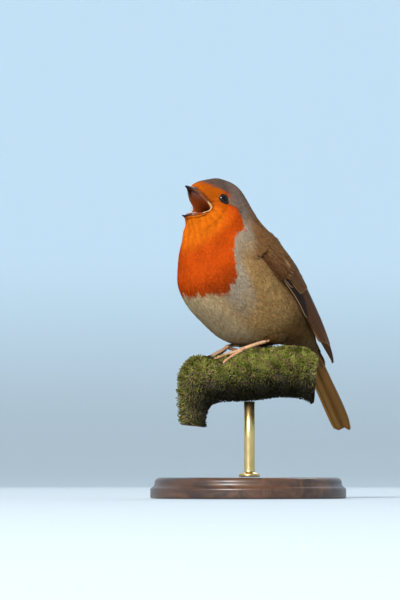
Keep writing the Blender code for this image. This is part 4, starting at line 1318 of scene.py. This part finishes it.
def vane_pieces(fans, surface, side, suffix):
    """Makes each fan's piece, in a web colour and a fringe colour with a little spread, and
    painted shade that darkens each feather towards its root.
    """
    down = shares(VANE_ROWS)[:, None, None]
    for seed, (name, fan, web, fringe) in enumerate(fans):
        rings, uvs = vanes(surface, fan)
        tone = np.random.default_rng(60 + seed).normal(1.0, 0.10, (len(fan), 1, 1, 1))
        # Painted shade: web and fringe are darker towards each feather's root, where others overlie it.
        edges = COLOURS[fringe] * tone * (0.8 + 0.3 * down)
        if name == "greater_coverts":
            strength = np.where(np.arange(len(fan)) < 4, 0.35, 0.1)[:, None, None]
            edges = mix(edges, COLOURS["buff"], smooth(down[..., 0], 0.82, 1.0) * strength)
        shell = closed_tubes(rings, COLOURS[web] * tone * (0.75 + 0.35 * down))
        paint = with_poles(np.broadcast_to(edges, rings.shape))
        make_piece(name + suffix, on_side(shell, side), "vane", uvs,
                   (("fringe", paint),))


def wing_core(side):
    """The body of the wing under its feathers, dark with painted shade, a lens of 0.45 of its thickness."""
    phase = circle(40)
    rings = wing(np.linspace(0.15, 8.6, 60)[:, None], 0.03 + 0.94 * (1 - np.cos(phase)) / 2,
                 0.45 * np.sign(np.sin(phase)) * np.sqrt(np.abs(np.sin(phase))))
    # Painted shade: the wing's colour at 0.6 for the core under the feathers.
    shell = closed_tubes(rings[None], COLOURS["wing"] * 0.6)
    piece = make_piece("wing_core_" + side, on_side(shell, side), "plumage")
    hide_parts("wing_" + side)


def wing_paint(u, v, points):
    """Lesser coverts: olive brown, warmer and darker towards the lower edge and the tip, with
    fine dark streaks and a pale fleck.
    """
    # Painted shade: the mantle's colour at 0.85 along the upper edge.
    colour = mix(COLOURS["mantle"] * 0.85, COLOURS["covert"], smooth(v + 0.25 * (u - 1.2), 0.45, 1.2))
    colour = mix(colour, COLOURS["wing"] * 0.6, 0.85 * smooth(v, 0.86, 0.96) * smooth(u, 0.6, 1.3))
    streaks = smooth(np.sin(60.0 * v + 2.0 * ripple(points, 6.0, 10)), 0.2, 1.0)
    colour = colour * (1.0 - 0.3 * streaks + 0.1 * ripple(points, 3.0, 8))[..., None]
    fleck = bell(u, 2.35, 0.22) * bell(v, 0.60 + 0.1 * (u - 2.35), 0.045)
    return mix(colour, COLOURS["buff"], 0.8 * fleck)


def wing_top(u, v):
    """The wing's outer side, where the small coverts lie."""
    return wing(u, v, 1.05)


def wing_back(u, v):
    """The wing's outer side, where the shoulder feathers lie."""
    return wing(u, v, 1.0)


def shoulder(t, a):
    """The body's surface raised over the bend of the wing.

    The rise is 2.5 mm * eased step of t from 4.3 to 6.2, and fades with the angle's distance
    from a line that starts at 72 degrees on ring 5.5 and turns 6.7 degrees towards the back
    with each ring.
    """
    place, out = lie(body, t, a)[:2]
    away = np.abs(np.abs(a) / DEGREE - (72.0 - 6.7 * (t - 5.5)))
    rise = 2.5 * smooth(t, 4.3, 6.2) * (1 - smooth(away, 11.0, 25.0))
    return place + out * rise[..., None]


def shoulder_feathers(side):
    """Feathers of the breast's side and the back that hide the bend of the wing."""
    ends = (4.35, 5.9), tuple(sorted((46.0 * DEGREE * SIGNS[side], 90.0 * DEGREE * SIGNS[side])))

    def paint(t, a, points):
        back = smooth(t - 0.03 * (np.abs(a) / DEGREE - 60.0), 4.9, 5.7)
        # Painted shade: towards the back, the mantle's colour at 0.85.
        near = mix(markings(t, a, points), COLOURS["mantle"] * 0.85, back)
        streaks = smooth(np.sin(70.0 * a + 2.0 * ripple(points, 6.0, 10)), 0.2, 1.0)
        return near * (1 - 0.2 * streaks * smooth(t, 5.2, 6.0))[..., None]

    tuft_piece("shoulder_feathers_" + side, shoulder, 1500, ends,
               np.random.default_rng(77), (4.0, 5.6), (1.1, 1.6), paint, 1.2, (0.0, 0.15),
               (-0.1, 0.3))


def make_wings():
    """Both wings: core, flight feathers, large coverts, and small coverts as tufts."""
    for side in SIDES:
        wing_core(side)
        vane_pieces(WING_FANS, wing, side, "_" + side)
        tuft_piece("lesser_coverts_" + side, wing_top, 1600,
                   ((0.05, 2.3), (0.0, 1.0)), np.random.default_rng(70), (2.8, 4.2), (1.1, 1.6),
                   wing_paint, 0.4, (0.0, 0.1), (0.0, 0.3), side=side)
        scapulars(side)
        shoulder_feathers(side)


def scapulars(side):
    """Shoulder feathers that lie from the back over the upper edge of the wing."""
    def inside(u, v, random):
        return u + 6.0 * np.abs(v + 0.02) + random.normal(0.0, 0.25, len(u)) < 4.2

    mantle = COLOURS["mantle"]
    # Painted shade: the scapulars are the mantle's colour at 0.88.
    tuft_piece("scapulars_" + side, wing_back, 1500, ((0.05, 4.4), (-0.24, 0.26)),
               np.random.default_rng(75), (4.0, 6.0), (1.3, 2.0),
               graded(mantle, mantle, 0, 1, 0.88, 0.1, 4.0), 1.1, (0.12, 0.12), (0.0, 0.3),
               inside=inside, side=side)


def tail_root(t, a):
    """Loft from the body's ring 10.9, at t = 0, to the tail's section 1.5, at t = 1."""
    t, a = alike(t, a)
    return (body(10.9, a) * (1 - t)[..., None]
            + tail(1.5, 0.95 * np.sin(a), 1.1 * np.cos(a)) * t[..., None])


def make_tail_root():
    """Soft feathers that lie from the rump and the vent on to the tail."""
    # The under feathers take the low belly's and the vent's colours, which carry painted shade.
    for name, degrees, first, second in (("tail_root_over", (-95, 95), "rump", "rump"),
                                         ("tail_root_under", (85, 275), "shaded_low_belly", "vent")):
        paint = graded(COLOURS[first], COLOURS[second], 0.1, 0.8, 0.9, 0.12, 4.0)
        tuft_piece(name, tail_root, 1500, ((-0.05, 0.72), in_radians(*degrees)),
                   np.random.default_rng(95), (4.5, 6.5), (1.2, 1.8), paint, 0.7, (0.0, 0.15),
                   (-0.2, 0.3), room=(1.0, 1.2))


def make_tail():
    """Core, twelve tail feathers, and the long coverts over and under their roots."""
    phase = circle(32)
    rings = tail(np.linspace(0.1, 5.2, 40)[:, None], 0.86 * np.cos(phase), 0.45 * np.sin(phase))
    # Painted shade: the core under the feathers is the tail's colour at 0.7.
    piece = make_piece("tail_core", closed_tubes(rings[None], COLOURS["tail"] * 0.7), "plumage")
    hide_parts("tail")
    vane_pieces(TAIL_FANS, tail, "left", "")
    # The under coverts take the vent's colour, darkened in part with painted shade.
    for name, way, tone in (("upper_tail_coverts", 1.0, "rump"), ("under_tail_coverts", -1.0, "vent")):
        tuft_piece(name, lambda u, v: tail(u, v * way, way), 400,
                   ((0.8, 1.9), (-0.8, 0.8)), np.random.default_rng(480), (4.0, 6.0), (1.3, 2.0),
                   graded(COLOURS[tone], COLOURS[tone], 0, 1, 1.0, 0.12, 4.0), 0.8, (0.0, 0.08),
                   (0.0, 0.2))


def knee_cuff(side):
    """Surface of a cone of feathers, from within the belly down over the top of the shank. Its
    radius falls from 2.5 mm to 1 mm.
    """
    knee, foot = np.array(KNEES[side]), np.array(FEET[side])
    start = knee + (knee - foot) * 0.3 + (-1.3 * SIGNS[side], 1.2, 1.4)
    end = knee + (foot - knee) * 0.15
    run = unit(end - start)
    over = unit(np.cross(run, (1.0, 0.0, 0.0)))
    beside = np.cross(over, run)

    def cone(t, a):
        t, a = alike(t, a)
        return (start + (end - start) * t[..., None]
                + (2.5 - 1.5 * t)[..., None] * swept(over, -beside, a))

    return cone


def make_thighs():
    """Short soft feathers over the thighs and down to the shanks."""
    turn, belly = (0.0, 2 * math.pi), COLOURS["shaded_low_belly"]
    for side in SIDES:
        random = np.random.default_rng(85)
        # Painted shade: the thighs' feathers go from the flanks' colour at 0.72 into the shaded low
        # belly's.
        tuft_piece("thigh_feathers_" + side, thigh, 1300, ((0.03, 0.97), turn),
                   random, (2.0, 3.0), (0.8, 1.2),
                   graded(COLOURS["flank"] * 0.72, belly, 0.1, 0.9, 0.92, 0.12, 3.0), 0.8,
                   (0.0, 0.3), (0.0, 0.3), room=(0.85, 1.0), side=side)
        # Painted shade: the knee feathers are the shaded low belly's colour at 0.75.
        tuft_piece("knee_feathers_" + side, knee_cuff(side), 700,
                   ((0.02, 0.80), turn), random, (1.6, 2.6), (0.5, 0.9),
                   graded(belly, belly, 0, 1, 0.75, 0.15, 2.0), 0.5, (0.0, 0.2), (-0.3, 0.3))


# --- Perch and stand ---
def sawn_end(rim):
    """Face of a sawn end within its rim, with growth rings. Gives rings of points and colours."""
    share = np.array((0.12, 0.35, 0.6, 0.82, 0.94, 0.985))[:, None, None]
    centre = rim.mean(0)
    face = centre + (rim - centre) * share
    rings = 0.5 + 0.5 * np.sin(share[..., 0] * 60 + 0.8 * ripple(face, 6.0, 26))
    return face, mix(COLOURS["sawn_wood"], COLOURS["growth_ring"], rings)


def make_bark():
    """Bark with lumps and long furrows, painted shade in the furrows and underneath, greener
    above, and both sawn ends.
    """
    t, a = np.linspace(0.0, len(BRANCH) - 1.0, 170)[:, None], circle(144)
    place, out = lie(branch, t, a)[:2]
    furrow = np.abs(np.sin(11 * a + 2.2 * ripple(place, 14.0, 21) + 1.5 * ripple(place, 5.0, 22)))
    relief = (0.5 * (1 - furrow) ** 2 + 0.35 * (1 + ripple(place, 9.0, 23))
              + 0.15 * (1 + ripple(place, 2.2, 24)))
    bark, up = place - out * relief[..., None], out[..., 2]
    # Painted shade: darker in the furrows, where the relief is deepest.
    tone = mix(COLOURS["bark"], COLOURS["shaded_bark_furrow"], smooth(relief, 0.3, 1.1))
    green = smooth(up + 0.4 * ripple(place, 6.0, 25), -0.1, 0.7)
    tone = mix(tone * 0.7, COLOURS["bark_green"], 0.7 * green)
    # Painted shade: darker underneath.
    tone = tone * (0.25 + 0.75 * smooth(up, -0.8, 0.3))[..., None]
    (first, first_tone), (last, last_tone) = sawn_end(bark[0]), sawn_end(bark[-1])
    rings = np.concatenate([first, bark, last[::-1]])[None]
    tones = np.concatenate([first_tone, tone, last_tone[::-1]])[None]
    piece = make_piece("bark", closed_tubes(rings, tones), "bark")
    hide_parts("perch_branch")


def moss_cover(points):
    """How close the moss stands: most on top of the branch, least underneath, in patches."""
    height = (points[..., 2] + 8.0) / 12.0
    return 0.12 + 0.88 * smooth(height + 0.5 * ripple(points, 7.0, 27), -0.2, 0.9)


def moss_paint(t, a, points):
    """Yellow to dark green with brown patches, with painted shade underneath and towards the far end."""
    mossy = mix(COLOURS["moss"], COLOURS["moss_shade"], 0.5 + 0.5 * ripple(points, 5.0, 29))
    mossy = mix(mossy, COLOURS["moss_tip"], smooth(ripple(points, 3.0, 30), 0.3, 0.9))
    # Painted shade: dark underneath, and darker towards the far end.
    facing = smooth(np.cos(a), -0.75, 0.75)
    facing = facing * (1.0 - 0.3 * smooth(-branch_plan(points)[0], 18.0, 27.0))
    return mossy * (0.07 + 1.05 * facing)[..., None]


def make_moss():
    """Moss as short tufts that point every way, longer in clumps and on top."""
    random = np.random.default_rng(90)
    ends, count = ((0.15, len(BRANCH) - 1.2), (-math.pi, math.pi)), 22000
    t, a = scattered(branch, count, *ends, random, moss_cover)
    clump = 0.5 + 0.5 * ripple(branch(t, a), 6.0, 28)
    facing = smooth(np.cos(a), -0.8, 0.3)
    length = random.uniform(0.9, 1.7, count) * (0.7 + 0.7 * clump) * (0.4 + 0.6 * facing)
    shell, uvs = tufts(branch, t, a, length, random.uniform(0.3, 0.5, count), moss_paint, ends,
                       random, 0.6, random.uniform(-math.pi, math.pi, count),
                       random.uniform(0.2, 1.2, count) * (0.5 + clump) * (0.25 + 0.75 * facing), 3)
    make_piece("moss_tufts", shell, "moss", uvs)


def lathe(profile, columns):
    """Rings of a profile of (radius, z) turned about the z axis."""
    radius, z = np.array(profile, float).T[..., None]
    radius, z, around = alike(radius, z, circle(columns))
    return np.stack([radius * np.cos(around), radius * np.sin(around), z], -1)


def turned_piece(name, node, profile, columns, finish):
    """A profile of (radius, z) in mm from the node's foot, turned about the node's middle."""
    low, high = (np.array(corner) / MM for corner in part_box(node))
    rings = lathe(profile, columns) + (*(low + high)[:2] / 2, low[2])
    piece = make_piece(name, closed_tubes(rings[None], np.ones(3)), finish, level=0.0)
    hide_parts(node)


def make_stand():
    """Round turned base with a bead and a groove, and a brushed rod with its collar."""
    low, high = (np.array(corner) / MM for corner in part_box("stand_base"))
    r, h = (high[0] - low[0]) / 2, high[2] - low[2]
    bend = np.linspace(0.0, math.pi / 2, 8)
    foot = [(r - 0.5 + 0.5 * math.sin(b), 0.5 - 0.5 * math.cos(b)) for b in bend]
    bead = [(r - 1.5 + 1.5 * math.cos(b - 0.3), 3.4 + 1.5 * math.sin(b - 0.3)) for b in bend]
    shoulder = [(r - 4.5 + 2.6 * math.cos(b), h - 2.2 + 2.2 * math.sin(b)) for b in bend]
    groove = [(r - 9.0 + 0.6 * math.cos(2 * b), h - 0.7 * math.sin(2 * b)) for b in bend]
    profile = [(r * 0.5, 0.0), *foot, (r, 2.4), *bead, (r - 1.9, h - 3.0), *shoulder, *groove,
               (r * 0.5, h), (6.0, h)]
    turned_piece("turned_base", "stand_base", profile, 160, "wood")
    low, high = (np.array(corner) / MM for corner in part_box("stand_rod"))
    collar, tall, rod = (high[0] - low[0]) / 2, high[2] - low[2], 2.4
    profile = [(collar - 0.3, 0.0), (collar, 0.3), (collar, 1.0), (collar - 0.35, 1.35),
               (collar - 1.0, 1.6), (rod + 0.5, 1.9), (rod + 0.1, 2.3), (rod, 2.8),
               (rod, tall * 0.5), (rod, tall)]
    turned_piece("brushed_rod", "stand_rod", profile, 64, "brass")


# --- Stage ---
# Metres. RIGHT, NEAR and UP are the camera's right, the way towards it, and upwards.
RIGHT, NEAR, UP = np.array(((0.6018, 0.7986, 0.0), (0.7986, -0.6018, 0.0), (0.0, 0.0, 1.0)))
FLOOR_LEVEL = -0.0002
FLOOR_COLOUR, RIM_COLOUR = (0.46, 0.51, 0.545, 1.0), (0.74, 0.88, 0.97, 1.0)
RIM_RISE = 0.35                         # where the floor's colour has turned to the rim's
RIM_START, RIM_BEND, RIM_TOP = 2.2, 2.4, 5.0
VIEW_OFFSET = (-0.0127, -0.01555, -0.00955)
VIEW_TILT = -3.0 * DEGREE
VIEW_DISTANCE, FRAME_HEIGHT, SENSOR = 1.5, 0.264, 36.0
# Name, place along RIGHT, NEAR and UP from the trunk, size, power and colour.
LIGHTS = (("key_light", (-1.28, 2.55, 1.95), 1.05, 148.0, (1.0, 0.98, 0.95)),
          ("top_light", (0.2, -1.5, 1.7), 1.4, 26.0, (0.96, 0.98, 1.0)))
SKY_COLOUR, SKY_STRENGTH = (0.88, 0.94, 1.0, 1.0), 0.55


def make_floor():
    """A pale bowl of a floor whose rim rises all round and turns paler upwards."""
    finish, tree, shader = new_finish("pale_floor", 0.9, Specular_IOR_Level=0.1)
    place = add(tree, "ShaderNodeTexCoord")
    parts = add(tree, "ShaderNodeSeparateXYZ", {0: place.outputs["Object"]})
    rise = add(tree, "ShaderNodeMapRange", {"Value": parts.outputs["Z"], "From Max": RIM_RISE},
               interpolation_type="SMOOTHSTEP")
    tree.links.new(blend(tree, rise.outputs["Result"], FLOOR_COLOUR, RIM_COLOUR),
                   shader.inputs["Base Color"])
    bend = np.linspace(0.0, math.pi / 2, 16)
    rim = zip(RIM_START + RIM_BEND * np.sin(bend), RIM_BEND - RIM_BEND * np.cos(bend))
    rings = lathe([(0.3, 0.0), (1.2, 0.0), *rim, (RIM_START + RIM_BEND, RIM_TOP)], 96)
    points = np.concatenate([rings.reshape(-1, 3), np.zeros((1, 3))]) + (0.0, 0.0, FLOOR_LEVEL)
    quads, tris = closed_faces(*rings.shape[:2])
    mesh = bpy.data.meshes.new("floor")
    mesh.from_pydata(points.tolist(), [], quads.tolist() + tris[:96].tolist())
    mesh.materials.append(finish)
    mesh.shade_smooth()
    floor = bpy.data.objects.new("floor", mesh)
    bpy.context.collection.objects.link(floor)


def make_stage():
    """Floor, camera, two soft lights and an even sky."""
    make_floor()
    middle = np.array(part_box("trunk")[0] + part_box("trunk")[1]) / 2
    target = middle + VIEW_OFFSET
    camera = bpy.data.objects.new("camera", bpy.data.cameras.new("camera"))
    camera.data.sensor_width = SENSOR
    camera.data.lens = SENSOR * VIEW_DISTANCE / FRAME_HEIGHT
    camera.data.clip_start = 0.05
    aim(camera, target + VIEW_DISTANCE * swept(NEAR, UP, VIEW_TILT), target)
    bpy.context.scene.camera = camera
    for name, place, size, power, colour in LIGHTS:
        lamp = bpy.data.lights.new(name, "AREA")
        lamp.shape, lamp.size, lamp.energy, lamp.color = "DISK", size, power, colour
        place = middle + place[0] * RIGHT + place[1] * NEAR + place[2] * UP
        aim(bpy.data.objects.new(name, lamp), place, middle)
    world = bpy.data.worlds.new("studio")
    world.use_nodes = True
    sky = world.node_tree.nodes["Background"]
    sky.inputs["Color"].default_value = SKY_COLOUR
    sky.inputs["Strength"].default_value = SKY_STRENGTH
    bpy.context.scene.world = world
    bpy.context.scene.view_settings.view_transform = "Standard"


def aim(item, place, target):
    """Puts a lamp or camera at a place, facing a target."""
    item.location = place
    item.rotation_euler = Vector(np.array(target) - place).to_track_quat("-Z", "Y").to_euler()
    bpy.context.collection.objects.link(item)


make_skin()
make_eyes()
make_eye_rings()
make_bill()
make_tongue()
make_bristles()
make_chin()
make_coat()
make_wings()
make_tail()
make_tail_root()
make_thighs()
make_bark()
make_moss()
make_stand()
make_stage()
